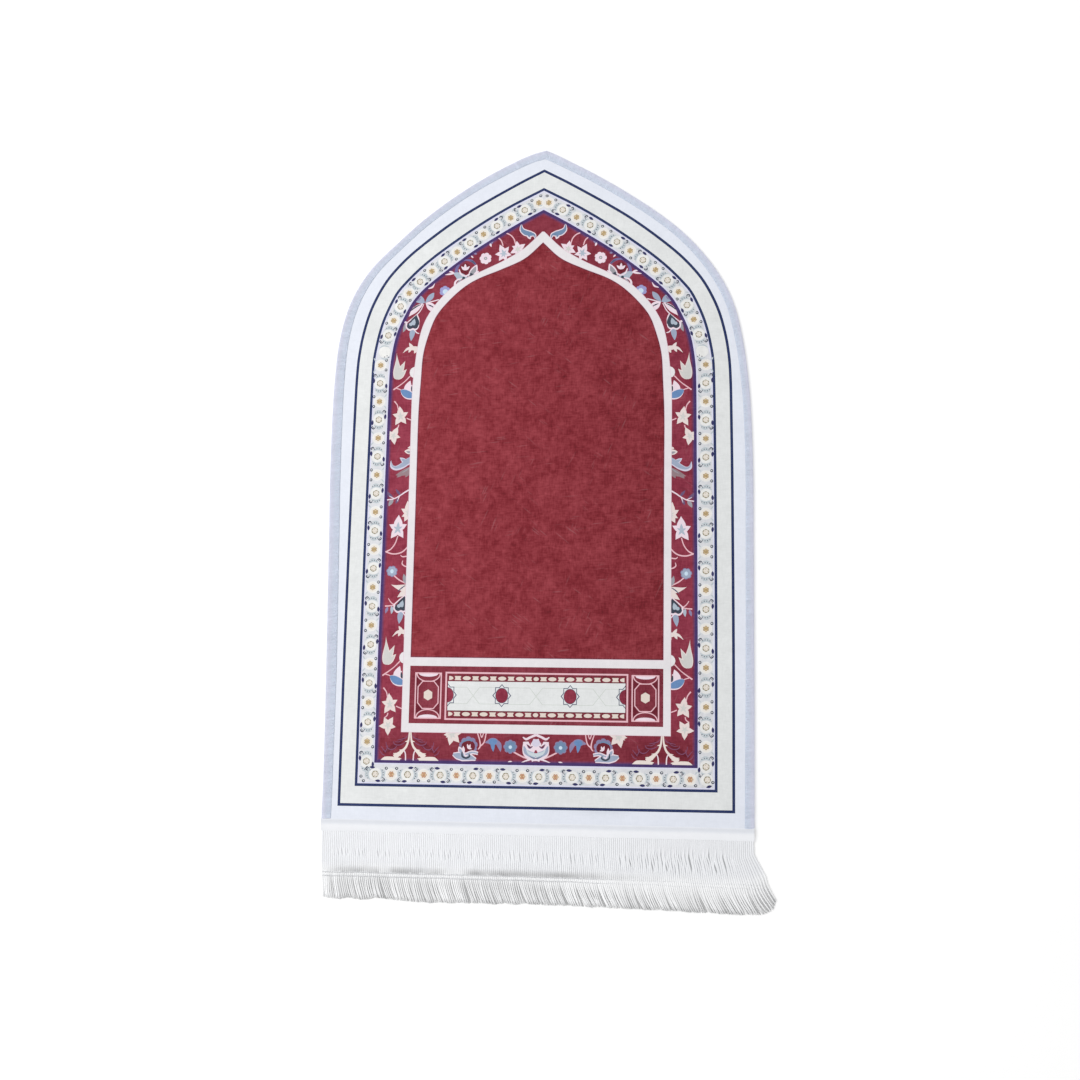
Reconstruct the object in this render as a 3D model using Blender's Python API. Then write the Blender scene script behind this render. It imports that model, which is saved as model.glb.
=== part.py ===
"""Prayer rug lying flat: a printed arch-shaped mat, its overlocked edge and the fringe along its foot.

Metres, +Z up. The mat's underside is the plane z = 0, +X is to the right and +Y points to the arch's tip.
The origin is on the underside, midway between the foot of the cloth and the tip.
"""
import math
import random

import bmesh
import bpy

MM = 0.001
CLEARANCE = 0.3 * MM

# The mat: printed short-pile cloth on a thin padded backing.
MAT_THICKNESS = 3.6 * MM
RIM_BOTTOM = 1.0 * MM
RIM_TOP = 2.6 * MM

# Edge stations from the foot to the tip: height along +Y, then the left and right edges, in millimetres.
OUTLINE_COLUMNS = ("y", "left", "right")
OUTLINE_ROWS = (
    (-549.0, -331.5, 339.5),
    (-480.0, -331.2, 339.9),
    (-350.0, -333.0, 340.4),
    (-230.0, -335.5, 340.4),
    (-100.0, -338.2, 340.4),
    (0.0, -340.6, 340.3),
    (100.0, -341.2, 337.4),
    (170.0, -339.4, 331.8),
    (230.0, -334.6, 322.6),
    (280.0, -323.8, 309.8),
    (320.0, -307.4, 291.6),
    (360.0, -280.5, 265.0),
    (400.0, -240.0, 229.5),
    (435.0, -202.0, 189.0),
    (470.0, -156.0, 140.5),
    (502.0, -106.5, 91.0),
    (528.0, -57.5, 46.0),
    (544.0, -21.0, 17.0),
    (550.4, 3.5, 3.5),
)
STEPS_PER_STATION = 2

# The foot of the cloth and the fringe tape run slightly downhill to the right.
FOOT_SLOPE = -0.0067
CLOTH_FOOT_Y = -549.0 * MM
TAPE_TOP_Y = -539.5 * MM
TAPE_DEPTH = 17.5 * MM

# The overlocked edge: a band of close stitches wrapped round the mat's rim.
EDGE_WIDTH = 15.5 * MM
EDGE_LEAF = 0.7 * MM
EDGE_SPINE = 1.0 * MM
EDGE_ROUNDING = 0.5 * MM

# The fringe tape: a woven heading sewn over the foot, which drops to the floor beyond it.
TAPE_THICKNESS = 1.0 * MM
TAPE_DROP_START = 9.9 * MM
TAPE_DROP_LENGTH = 5.2 * MM
TAPE_STATIONS = 30

# The strands hang from the tape's lower edge and lie level on the floor.
STRAND_COUNT = 240
STRAND_FILL = 0.71
STRAND_HEIGHT = 1.4 * MM
STRAND_SEED = 11
TIP_UNEVENNESS = 2.6 * MM
TIP_SWAY = 0.2 * MM

# How far the strands lean to the right at each place across the foot, and where they end, in millimetres.
FAN_COLUMNS = ("across", "skirt", "chain", "tip", "tip_y")
FAN_ROWS = (
    (0.000, 3.0, 7.0, 12.0, -659.0),
    (0.080, 1.0, 4.0, 15.0, -661.5),
    (0.500, 0.0, 3.0, 17.0, -662.0),
    (0.800, 0.0, 4.0, 19.0, -667.0),
    (0.930, 0.0, 9.0, 24.0, -670.0),
    (0.985, 0.5, 14.0, 29.0, -660.0),
    (1.000, 1.0, 16.0, 32.0, -647.0),
)

# Sections of one strand: share of its length, weights of the three leans, width and height shares.
SECTION_COLUMNS = ("along", "skirt", "chain", "tip", "width", "top", "height")
SECTION_ROWS = (
    (0.28, 1.00, 0.00, 0.00, 1.00, 0.75, 1.00),
    (0.60, 0.00, 1.00, 0.00, 1.00, 0.75, 0.95),
    (0.80, 0.00, 0.60, 0.40, 1.00, 0.75, 0.95),
    (1.00, 0.00, 0.00, 1.00, 0.70, 0.60, 0.65),
)

# Linear base colours, roughness and metallic values.
MATERIALS = {
    "printed_velour": ((0.27, 0.036, 0.043, 1.0), 0.92, 0.0),
    "overlock_yarn": ((0.62, 0.67, 0.80, 1.0), 0.85, 0.0),
    "fringe_yarn": ((0.82, 0.83, 0.86, 1.0), 0.80, 0.0),
}


def named_rows(columns, rows):
    return [dict(zip(columns, row)) for row in rows]


OUTLINE = named_rows(OUTLINE_COLUMNS, OUTLINE_ROWS)
FAN = named_rows(FAN_COLUMNS, FAN_ROWS)
SECTIONS = named_rows(SECTION_COLUMNS, SECTION_ROWS)


def clear_scene():
    for item in list(bpy.data.objects):
        bpy.data.objects.remove(item, do_unlink=True)


def make_material(name):
    color, roughness, metallic = MATERIALS[name]
    material = bpy.data.materials.new(name)
    material.use_nodes = True
    shader = material.node_tree.nodes["Principled BSDF"]
    shader.inputs["Base Color"].default_value = color
    shader.inputs["Roughness"].default_value = roughness
    shader.inputs["Metallic"].default_value = metallic
    material.diffuse_color = color
    return material


def make_object(name, shape, material_name):
    """Turn a bmesh into a named object whose faces point out."""
    bmesh.ops.recalc_face_normals(shape, faces=shape.faces)
    mesh = bpy.data.meshes.new(name)
    shape.to_mesh(mesh)
    shape.free()
    mesh.materials.append(make_material(material_name))
    item = bpy.data.objects.new(name, mesh)
    bpy.context.scene.collection.objects.link(item)
    return item


def edge_slope(index, side):
    """Sideways change of an edge per millimetre of height, at one outline station."""
    low = OUTLINE[max(index - 1, 0)]
    high = OUTLINE[min(index + 1, len(OUTLINE) - 1)]
    return (high[side] - low[side]) / (high["y"] - low["y"])


def edge_x(y_mm, side):
    """The left or right edge at a height, on a smooth curve through the outline stations."""
    index = 0
    while index < len(OUTLINE) - 2 and y_mm > OUTLINE[index + 1]["y"]:
        index += 1
    low, high = OUTLINE[index], OUTLINE[index + 1]
    span = high["y"] - low["y"]
    t = (y_mm - low["y"]) / span
    start_weight = 2.0 * t ** 3 - 3.0 * t ** 2 + 1.0
    start_slope_weight = t ** 3 - 2.0 * t ** 2 + t
    end_slope_weight = t ** 3 - t ** 2
    return (start_weight * low[side] + (1.0 - start_weight) * high[side]
            + start_slope_weight * span * edge_slope(index, side)
            + end_slope_weight * span * edge_slope(index + 1, side))


def side_heights(foot_y_mm):
    """Heights of the outline points of one side, from the foot line up to just below the tip."""
    heights = [foot_y_mm]
    for low, high in zip(OUTLINE, OUTLINE[1:]):
        for step in range(STEPS_PER_STATION):
            height = low["y"] + (high["y"] - low["y"]) * step / STEPS_PER_STATION
            if height > foot_y_mm + 12.0:
                heights.append(height)
    return heights


def foot_line(base_y, x):
    return base_y + FOOT_SLOPE * x


def outline(base_y):
    """Outline from the left foot corner over the tip to the right foot corner, cut off at a foot line."""
    corners = {side: foot_line(base_y, edge_x(base_y / MM, side) * MM) / MM for side in ("left", "right")}
    left = [(edge_x(y, "left") * MM, y * MM) for y in side_heights(corners["left"])]
    right = [(edge_x(y, "right") * MM, y * MM) for y in side_heights(corners["right"])]
    tip = (OUTLINE[-1]["left"] * MM, OUTLINE[-1]["y"] * MM)
    return left + [tip] + right[::-1]


def inset(points, distance):
    """Move an outline inwards; its two foot corners slide along the foot line."""
    moved = []
    for index, (x, y) in enumerate(points):
        if index == 0 or index == len(points) - 1:
            across = distance if index == 0 else -distance
            moved.append((x + across, y + FOOT_SLOPE * across))
            continue
        before, after = points[index - 1], points[index + 1]
        first = math.atan2(y - before[1], x - before[0])
        second = math.atan2(after[1] - y, after[0] - x)
        middle = 0.5 * (first + second)
        reach = distance / math.cos(0.5 * (second - first))
        moved.append((x + reach * math.sin(middle), y - reach * math.cos(middle)))
    return moved


def ring(shape, points, z):
    return [shape.verts.new((x, y, z)) for x, y in points]


def bridge(shape, first, second, closed):
    """Quads between two rows of vertices of equal length."""
    last = len(first) if closed else len(first) - 1
    for index in range(last):
        follower = (index + 1) % len(first)
        shape.faces.new((first[index], first[follower], second[follower], second[index]))


def build_mat():
    """One slab whose rim is thinned where the edge wraps round it, and its top where the tape lies on it."""
    rim_inset = EDGE_SPINE + CLEARANCE
    step_inset = EDGE_WIDTH + CLEARANCE
    cloth = outline(CLOTH_FOOT_Y)
    faced = outline(TAPE_TOP_Y + CLEARANCE)
    shape = bmesh.new()
    underside = ring(shape, inset(cloth, step_inset), 0.0)
    under_step = ring(shape, inset(cloth, step_inset), RIM_BOTTOM)
    rim_low = ring(shape, inset(cloth, rim_inset), RIM_BOTTOM)
    rim_high = ring(shape, inset(cloth, rim_inset), RIM_TOP)
    top_step = ring(shape, inset(faced, step_inset), RIM_TOP)
    face = ring(shape, inset(faced, step_inset), MAT_THICKNESS)
    bridge(shape, underside, under_step, closed=True)
    bridge(shape, under_step, rim_low, closed=False)
    bridge(shape, rim_low, rim_high, closed=False)
    shape.faces.new((rim_low[0], under_step[0], under_step[-1], rim_low[-1], rim_high[-1], rim_high[0]))
    bridge(shape, rim_high, top_step, closed=True)
    bridge(shape, top_step, face, closed=True)
    shape.faces.new(underside)
    shape.faces.new(face)
    return make_object("mat_cloth", shape, "printed_velour")


def build_edge():
    """The overlocked edge: a C-shaped section carried round both sides and the arch, open towards the mat."""
    leaf_top = MAT_THICKNESS - EDGE_LEAF
    section = (
        (EDGE_WIDTH, 0.0),
        (EDGE_ROUNDING + EDGE_SPINE * 0.5, 0.0),
        (EDGE_SPINE * 0.3, EDGE_ROUNDING),
        (0.0, EDGE_ROUNDING + EDGE_SPINE * 0.7),
        (0.0, MAT_THICKNESS - EDGE_ROUNDING - EDGE_SPINE * 0.7),
        (EDGE_SPINE * 0.3, MAT_THICKNESS - EDGE_ROUNDING),
        (EDGE_ROUNDING + EDGE_SPINE * 0.5, MAT_THICKNESS),
        (EDGE_WIDTH, MAT_THICKNESS),
        (EDGE_WIDTH, leaf_top),
        (EDGE_SPINE, leaf_top),
        (EDGE_SPINE, EDGE_LEAF),
        (EDGE_WIDTH, EDGE_LEAF),
    )
    path = outline(TAPE_TOP_Y + CLEARANCE)
    shape = bmesh.new()
    lines = [ring(shape, inset(path, depth), z) for depth, z in section]
    for index, line in enumerate(lines):
        bridge(shape, line, lines[(index + 1) % len(lines)], closed=False)
    shape.faces.new([line[0] for line in lines])
    shape.faces.new([line[-1] for line in lines])
    return make_object("overlock_edge", shape, "overlock_yarn")


def blend_rows(rows, key, at, column):
    """Straight-line reading of one column of a short table."""
    for low, high in zip(rows, rows[1:]):
        if at <= high[key]:
            share = (at - low[key]) / (high[key] - low[key])
            return low[column] + share * (high[column] - low[column])
    return rows[-1][column]


def zipper(shape, coarse, fine):
    """Triangles between a row of few vertices and a parallel row of many."""
    at = 0
    for index in range(len(fine) - 1):
        middle = 0.5 * (fine[index].co.x + fine[index + 1].co.x)
        while at < len(coarse) - 1 and abs(coarse[at + 1].co.x - middle) < abs(coarse[at].co.x - middle):
            shape.faces.new((coarse[at], coarse[at + 1], fine[index]))
            at += 1
        shape.faces.new((coarse[at], fine[index + 1], fine[index]))
    while at < len(coarse) - 1:
        shape.faces.new((coarse[at], coarse[at + 1], fine[-1]))
        at += 1


def build_strand(shape, root, center_x, root_y, across, rng):
    """One strand: it grows from four root vertices and rests level on the floor along its whole length."""
    half_width = 0.5 * (root[1].co.x - root[0].co.x)
    tip_y = blend_rows(FAN, "across", across, "tip_y") * MM + rng.uniform(-1.0, 1.0) * TIP_UNEVENNESS
    sway = rng.uniform(-1.0, 1.0) * TIP_SWAY
    before = root
    for section in SECTIONS:
        lean = sum(section[name] * blend_rows(FAN, "across", across, name) for name in ("skirt", "chain", "tip"))
        x = center_x + lean * MM + sway * section["along"]
        y = root_y + (tip_y - root_y) * section["along"]
        low = half_width * section["width"]
        high = low * section["top"]
        top = STRAND_HEIGHT * section["height"]
        corners = ((x - low, y, 0.0), (x + low, y, 0.0), (x + high, y, top), (x - high, y, top))
        here = [shape.verts.new(corner) for corner in corners]
        bridge(shape, before, here, closed=True)
        before = here
    shape.faces.new(before)


def build_fringe():
    """The tape and its strands, one body: the strands part from each other right below the tape."""
    tape_bottom = RIM_TOP + CLEARANCE
    tape_top = tape_bottom + TAPE_THICKNESS
    drop_end = TAPE_DROP_START + TAPE_DROP_LENGTH
    section = (
        (drop_end - TAPE_THICKNESS, 0.0),
        (TAPE_DROP_START, tape_bottom),
        (0.0, tape_bottom),
        (0.0, tape_top),
        (TAPE_DROP_START + TAPE_THICKNESS, tape_top),
        (drop_end + TAPE_THICKNESS, STRAND_HEIGHT),
    )
    left = edge_x(TAPE_TOP_Y / MM, "left") * MM - CLEARANCE
    right = edge_x(TAPE_TOP_Y / MM, "right") * MM + CLEARANCE
    pitch = (right - left) / STRAND_COUNT
    centers = [left + pitch * (index + 0.5) for index in range(STRAND_COUNT)]
    half_width = 0.5 * pitch * STRAND_FILL
    shape = bmesh.new()

    coarse_x = [left + (right - left) * index / TAPE_STATIONS for index in range(TAPE_STATIONS + 1)]
    lines = [ring(shape, [(x, foot_line(TAPE_TOP_Y, x) - depth) for x in coarse_x], z) for depth, z in section]
    for first, second in zip(lines, lines[1:]):
        bridge(shape, first, second, closed=False)

    fine_x = [left]
    for center in centers:
        fine_x += [center - half_width, center + half_width]
    fine_x.append(right)
    front = [(x, foot_line(TAPE_TOP_Y - TAPE_DEPTH, x)) for x in fine_x]
    front_low = ring(shape, front, 0.0)
    front_high = ring(shape, front, STRAND_HEIGHT)
    zipper(shape, lines[-1], front_high)
    zipper(shape, lines[0], front_low)
    shape.faces.new([line[0] for line in lines] + [front_high[0], front_low[0]])
    shape.faces.new([line[-1] for line in lines] + [front_high[-1], front_low[-1]])

    rng = random.Random(STRAND_SEED)
    for index in range(len(fine_x) - 1):
        corners = (front_low[index], front_low[index + 1], front_high[index + 1], front_high[index])
        if index % 2 == 0:
            shape.faces.new(corners)
            continue
        center = centers[index // 2]
        across = (center - left) / (right - left)
        build_strand(shape, corners, center, foot_line(TAPE_TOP_Y - TAPE_DEPTH, center), across, rng)
    return make_object("fringe", shape, "fringe_yarn")


def main():
    clear_scene()
    build_mat()
    build_edge()
    build_fringe()


main()
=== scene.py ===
# Prayer rug: printed velour mat with an arched top, an overlocked edge and a thread fringe along its foot.
# Metres, +Z up. Chart sizes are millimetres on the rug: x to the right, y towards the tip of the arch.
import math
import random

import bpy
import numpy as np
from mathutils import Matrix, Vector, noise
from mathutils.geometry import delaunay_2d_cdt


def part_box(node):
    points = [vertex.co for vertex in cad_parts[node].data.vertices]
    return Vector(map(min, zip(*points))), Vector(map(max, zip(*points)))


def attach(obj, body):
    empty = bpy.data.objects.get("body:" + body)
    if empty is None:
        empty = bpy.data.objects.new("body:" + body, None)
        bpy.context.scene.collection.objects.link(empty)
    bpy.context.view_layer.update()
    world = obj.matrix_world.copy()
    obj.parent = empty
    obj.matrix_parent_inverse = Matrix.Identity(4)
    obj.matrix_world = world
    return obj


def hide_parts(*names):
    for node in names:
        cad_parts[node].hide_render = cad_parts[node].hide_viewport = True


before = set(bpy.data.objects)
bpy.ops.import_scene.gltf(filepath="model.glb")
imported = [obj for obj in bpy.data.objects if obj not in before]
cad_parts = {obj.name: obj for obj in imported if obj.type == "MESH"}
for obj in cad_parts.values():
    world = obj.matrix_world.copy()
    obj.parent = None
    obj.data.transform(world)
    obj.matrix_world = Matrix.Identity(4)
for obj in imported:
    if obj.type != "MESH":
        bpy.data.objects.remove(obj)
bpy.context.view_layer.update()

mm = 0.001
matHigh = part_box("mat_cloth")[1].z


class Wire:
    # One socket of a node tree; + - and * on it add Math nodes.
    def __init__(self, tree, socket):
        self.tree = tree
        self.socket = socket

    def math(self, operation, *values):
        node = self.tree.nodes.new("ShaderNodeMath")
        node.operation = operation
        for slot, value in zip(node.inputs, values):
            plug(self.tree, slot, value)
        return Wire(self.tree, node.outputs[0])

    def __add__(self, other):
        return self.math("ADD", self, other)

    def __sub__(self, other):
        return self.math("SUBTRACT", self, other)

    def __rsub__(self, other):
        return self.math("SUBTRACT", other, self)

    def __mul__(self, other):
        return self.math("MULTIPLY", self, other)

    __radd__ = __add__
    __rmul__ = __mul__

    def step(self, low, high):
        # 0 below low, 1 above high, smooth between
        tree = self.tree
        node = tree.nodes.new("ShaderNodeMapRange")
        node.interpolation_type = "SMOOTHSTEP"
        for name, value in (("Value", self), ("From Min", low), ("From Max", high)):
            plug(tree, node.inputs[name], value)
        return Wire(tree, node.outputs[0])


def plug(tree, slot, value):
    if isinstance(value, Wire):
        tree.links.new(value.socket, slot)
    elif isinstance(value, (tuple, list)) and slot.type == "RGBA" and len(value) == 3:
        slot.default_value = (*value, 1.0)
    else:
        slot.default_value = value


class Finish:
    # A material around one Principled BSDF; constant values go straight onto its sockets.
    def __init__(self, name, **constants):
        self.material = bpy.data.materials.new(name)
        self.material.use_nodes = True
        self.tree = self.material.node_tree
        self.shader = self.tree.nodes["Principled BSDF"]
        for key, value in constants.items():
            self.shader.inputs[key.replace("_", " ")].default_value = value

    def node(self, kind, settings=None, values=None, out=0):
        made = self.tree.nodes.new(kind)
        for key, value in (settings or {}).items():
            setattr(made, key, value)
        for key, value in (values or {}).items():
            plug(self.tree, made.inputs[key], value)
        return Wire(self.tree, made.outputs[out])

    def place(self, scale=(1.0, 1.0, 1.0), turn=0.0):
        # Where the point lies on the rug, in metres, turned about the vertical and then stretched
        spot = self.node("ShaderNodeTexCoord", out="Object")
        if turn:
            spot = self.node("ShaderNodeMapping", {}, {"Vector": spot, "Rotation": (0.0, 0.0, turn)})
        return self.node("ShaderNodeMapping", {}, {"Vector": spot, "Scale": scale})

    def noise(self, scale, detail=2.0, rough=0.5, spot=None, twist=0.0):
        values = {"Vector": spot or self.place(), "Scale": scale, "Detail": detail, "Roughness": rough,
            "Distortion": twist}
        return self.node("ShaderNodeTexNoise", {}, values)

    def mixColor(self, share, first, second):
        made = self.tree.nodes.new("ShaderNodeMix")
        made.data_type = "RGBA"
        for slot, value in ((made.inputs[0], share), (made.inputs[6], first), (made.inputs[7], second)):
            plug(self.tree, slot, value)
        return Wire(self.tree, made.outputs[2])

    def shade(self, color, factor):
        # A color made lighter or darker by a number that may vary
        values = {0: color, "Scale": factor}
        return self.node("ShaderNodeVectorMath", {"operation": "SCALE"}, values)

    def bump(self, height, strength, distance):
        return self.node("ShaderNodeBump", {}, {"Height": height, "Strength": strength, "Distance": distance})

    def feed(self, **links):
        for key, value in links.items():
            plug(self.tree, self.shader.inputs[key.replace("_", " ")], value)
        return self.material


def screenColor(red, green, blue, light=1.0):
    # What a screen shows as 0 to 255, as the linear values that shaders take
    values = [c / 255 for c in (red, green, blue)]
    linear = [c / 12.92 if c <= 0.04045 else ((c + 0.055) / 1.055) ** 2.4 for c in values]
    return tuple(c / light for c in linear)


# Heights along the rug with the left and right edge there: x runs from left to right, in millimetres.
outlineRows = (
    (-549.0, -331.5, 339.5), (-480.0, -331.2, 339.9), (-350.0, -333.0, 340.4), (-230.0, -335.5, 340.4),
    (-100.0, -338.2, 340.4), (0.0, -340.6, 340.3), (100.0, -341.2, 337.4), (170.0, -339.4, 331.8),
    (230.0, -334.6, 322.6), (280.0, -323.8, 309.8), (320.0, -307.4, 291.6), (360.0, -280.5, 265.0),
    (400.0, -240.0, 229.5), (435.0, -202.0, 189.0), (470.0, -156.0, 140.5), (502.0, -106.5, 91.0),
    (528.0, -57.5, 46.0), (544.0, -21.0, 17.0), (550.4, 3.5, 3.5),
)
footSlope = -0.0067
clothFoot = -549.0
tapeTop = -539.5
printFoot = -541.5
edgeWide = 15.5

# Up each side: how far inside the solid's outline the overlocked edge starts, and where it ends
bandRows = {
    "height": (-540, -450, -300, 0, 100, 200, 300, 400, 480, 550),
    "leftEdge": (1.2, 1.2, 1.2, 1.2, 1.2, 1.2, 1.2, 1.2, 1.2, 1.2),
    "leftEnd": (16.2, 16.4, 18.3, 18.3, 18.3, 17.1, 16.4, 13.6, 14.2, 15.4),
    "rightEdge": (2.9, 2.9, 2.9, 2.9, 2.9, 2.7, 2.1, 1.3, 1.1, 1.2),
    "rightEnd": (16.8, 16.5, 15.3, 14.2, 13.9, 13.9, 13.9, 13.5, 14.2, 15.4),
}


def hermite(t, start, end, startSlope, endSlope):
    # A smooth run from start to end
    return ((2 * t ** 3 - 3 * t ** 2 + 1) * start + (3 * t ** 2 - 2 * t ** 3) * end
        + (t ** 3 - 2 * t ** 2 + t) * startSlope + (t ** 3 - t ** 2) * endSlope)


def edgeSlope(index, side):
    low, high = outlineRows[max(index - 1, 0)], outlineRows[min(index + 1, len(outlineRows) - 1)]
    return (high[side] - low[side]) / (high[0] - low[0])


def edgeX(y, side):
    # The left edge with side 1 and the right edge with side 2, on a smooth curve through the rows
    index = 0
    while index < len(outlineRows) - 2 and y > outlineRows[index + 1][0]:
        index += 1
    low, high = outlineRows[index], outlineRows[index + 1]
    span = high[0] - low[0]
    t = (y - low[0]) / span
    return hermite(t, low[side], high[side], span * edgeSlope(index, side), span * edgeSlope(index + 1, side))


def footLine(base, x):
    return base + footSlope * x


def outline(base, steps=170, fine=60):
    # Points from the left foot corner over the tip to the right foot corner, evenly spaced on each side
    sides = []
    for side in (1, 2):
        low = footLine(base, edgeX(base, side))
        rows = [low] + [row[0] for row in outlineRows[1:]]
        heights = np.concatenate([np.linspace(a, b, fine, endpoint=False) for a, b in zip(rows, rows[1:])]
            + [rows[-1:]])
        line = np.array([(edgeX(y, side), y) for y in heights])
        run = np.concatenate([[0.0], np.cumsum(np.hypot(*np.diff(line, axis=0).T))])
        places = np.linspace(0.0, run[-1], steps + 1)
        sides.append(list(zip(np.interp(places, run, line[:, 0]), np.interp(places, run, line[:, 1]))))
    return sides[0] + sides[1][-2::-1]


def inset(points, distances):
    # Moved inwards by one distance or one for each point; the foot corners slide along the foot line
    moved = []
    for index, (x, y) in enumerate(points):
        distance = distances[index] if hasattr(distances, "__len__") else distances
        if index in (0, len(points) - 1):
            across = distance if index == 0 else -distance
            moved.append((x + across, y + footSlope * across))
            continue
        before, after = points[index - 1], points[index + 1]
        first = math.atan2(y - before[1], x - before[0])
        second = math.atan2(after[1] - y, after[0] - x)
        middle = 0.5 * (first + second)
        reach = distance / math.cos(0.5 * (second - first))
        moved.append((x + reach * math.sin(middle), y - reach * math.cos(middle)))
    return moved


def bandDepths(points, share, more=0.0):
    # For each point of the outline: share 0 is the outer side of the overlocked edge, 1 its inner side
    depths = []
    for index, (x, y) in enumerate(points):
        side = "left" if index <= len(points) // 2 else "right"
        start, end = (np.interp(y, bandRows["height"], bandRows[side + name]) for name in ("Edge", "End"))
        depths.append(start + share * (end - start) + more)
    return depths


def addPiece(name, verts, faces, finish):
    mesh = bpy.data.meshes.new(name)
    mesh.from_pydata([tuple(v) for v in verts], [], [tuple(f) for f in faces])
    mesh.materials.append(finish)
    piece = bpy.data.objects.new(name, mesh)
    bpy.context.scene.collection.objects.link(piece)
    return piece


def addSweep(name, rows, finish, sharp):
    # A closed section swept along a line, with both ends shut; each row runs along one corner of the section
    count, lines = len(rows[0]), len(rows)
    faces = []
    for line in range(lines):
        n = (line + 1) % lines
        for k in range(count - 1):
            faces.append((line * count + k, line * count + k + 1, n * count + k + 1, n * count + k))
    faces.append([line * count for line in range(lines)])
    faces.append([line * count + count - 1 for line in range(lines)][::-1])
    verts = [(x * mm, y * mm, z * mm) for row in rows for x, y, z in row]
    piece = addPiece(name, verts, faces, finish)
    piece.data.shade_smooth()
    piece.data.set_sharp_from_angle(angle=math.radians(sharp))
    return piece


def markYarn(piece, tones, along, repeats):
    # What the yarn's finish reads: how much lighter or darker, by the yarn's own tone and by painted shade,
    # and how far along the thread
    for label, values in (("tone", tones), ("along", along)):
        layer = piece.data.attributes.new(label, "FLOAT", "POINT")
        layer.data.foreach_set("value", np.repeat(np.asarray(values, float).ravel(), repeats))


# The print leans a little on the cloth: its right half lies lower than its left half.
lean = {"atMiddle": 0.0177, "perMillimetre": 0.0000248}


def leanAt(y):
    return lean["atMiddle"] + lean["perMillimetre"] * y


def onCloth(points):
    # From the even drawing to the leaning print
    return [(x, y - leanAt(y) * x) for x, y in points]


def otherHalf(points):
    # The left half's charted shapes, on the right half
    return [(-x, y + 2 * leanAt(y) * x) for x, y in points][::-1]


def smooth(points, closed=True, detail=1.3):
    # A flowing line through the points
    spots = [Vector(p) for p in points]
    count = len(spots)
    line = []
    for index in range(count if closed else count - 1):
        start, end = spots[index], spots[(index + 1) % count]
        ends = []
        for at in (index, (index + 1) % count):
            if closed or 0 < at < count - 1:
                ends.append(0.5 * (spots[(at + 1) % count] - spots[at - 1]))
            else:
                ends.append(0.9 * (end - start))
        limit = 1.2 * (end - start).length
        ends = [e if e.length <= limit else e * (limit / e.length) for e in ends]
        steps = max(2, min(9, round((end - start).length / detail)))
        for step in range(steps):
            t = step / steps
            line.append(hermite(t, start, end, *ends))
    if not closed:
        line.append(spots[-1])
    return [tuple(p) for p in line]


def ribbon(points, widths, detail=1.6):
    # A brush stroke along the points; widths has one value for each, or one for all
    line = smooth(points, closed=False, detail=detail)
    if not hasattr(widths, "__len__"):
        widths = [widths] * len(points)
    lengths = [0.0]
    for a, b in zip(line, line[1:]):
        lengths.append(lengths[-1] + math.dist(a, b))
    knots = [0.0]
    for a, b in zip(points, points[1:]):
        knots.append(knots[-1] + math.dist(a, b))
    places = np.array(lengths) / lengths[-1] * knots[-1]
    wide = np.interp(places, knots, widths)
    left, right = [], []
    for index, (x, y) in enumerate(line):
        before, after = line[max(index - 1, 0)], line[min(index + 1, len(line) - 1)]
        dx, dy = after[0] - before[0], after[1] - before[1]
        size = math.hypot(dx, dy) or 1.0
        half = 0.5 * wide[index]
        left.append((x - dy / size * half, y + dx / size * half))
        right.append((x + dy / size * half, y - dx / size * half))
    return right + left[::-1]


def area(points):
    return 0.5 * sum(a[0] * b[1] - b[0] * a[1] for a, b in zip(points, points[1:] + points[:1]))


def disk(x, y, wide, high=None, count=14):
    high = wide if high is None else high
    return [(x + wide * math.cos(math.tau * k / count), y + high * math.sin(math.tau * k / count))
        for k in range(count)]


def daisy(x, y, radius, count, depth=0.18, turn=0.0, steps=6):
    # Round petals side by side
    line = []
    for k in range(count * steps):
        angle = turn + math.tau * k / (count * steps)
        bulge = abs(math.cos(0.5 * count * (angle - turn))) ** 0.55
        line.append((x + radius * (1 - depth + depth * bulge) * math.cos(angle),
            y + radius * (1 - depth + depth * bulge) * math.sin(angle)))
    return line


def leaf(base, tip, wide, bend=0.0, blunt=0.8, point=0.85):
    # An almond from base to tip; bend bows it to its left, a small blunt moves its belly to the base,
    # and a large point draws out its tip
    (bx, by), (tx, ty) = base, tip
    dx, dy = tx - bx, ty - by
    size = math.hypot(dx, dy)
    nx, ny = -dy / size, dx / size
    sides = ([], [])
    steps = max(4, round(size / 1.6))
    for k in range(steps + 1):
        t = k / steps
        bow = 4 * bend * t * (1 - t)
        power = point if t ** blunt > 0.5 else 0.85
        half = 0.5 * wide * math.sin(math.pi * t ** blunt) ** power if 0 < k < steps else 0.0
        for side, sign in ((sides[0], 1), (sides[1], -1)):
            side.append((bx + dx * t + nx * (bow + sign * half), by + dy * t + ny * (bow + sign * half)))
    return sides[1] + sides[0][-2:0:-1]


def shifted(points, dx, dy):
    return [(x + dx, y + dy) for x, y in points]


print("tools ready")

lightLevel = 1.13  # how bright a white card on the rug is in the studio, so inks are kept darker by it
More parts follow.
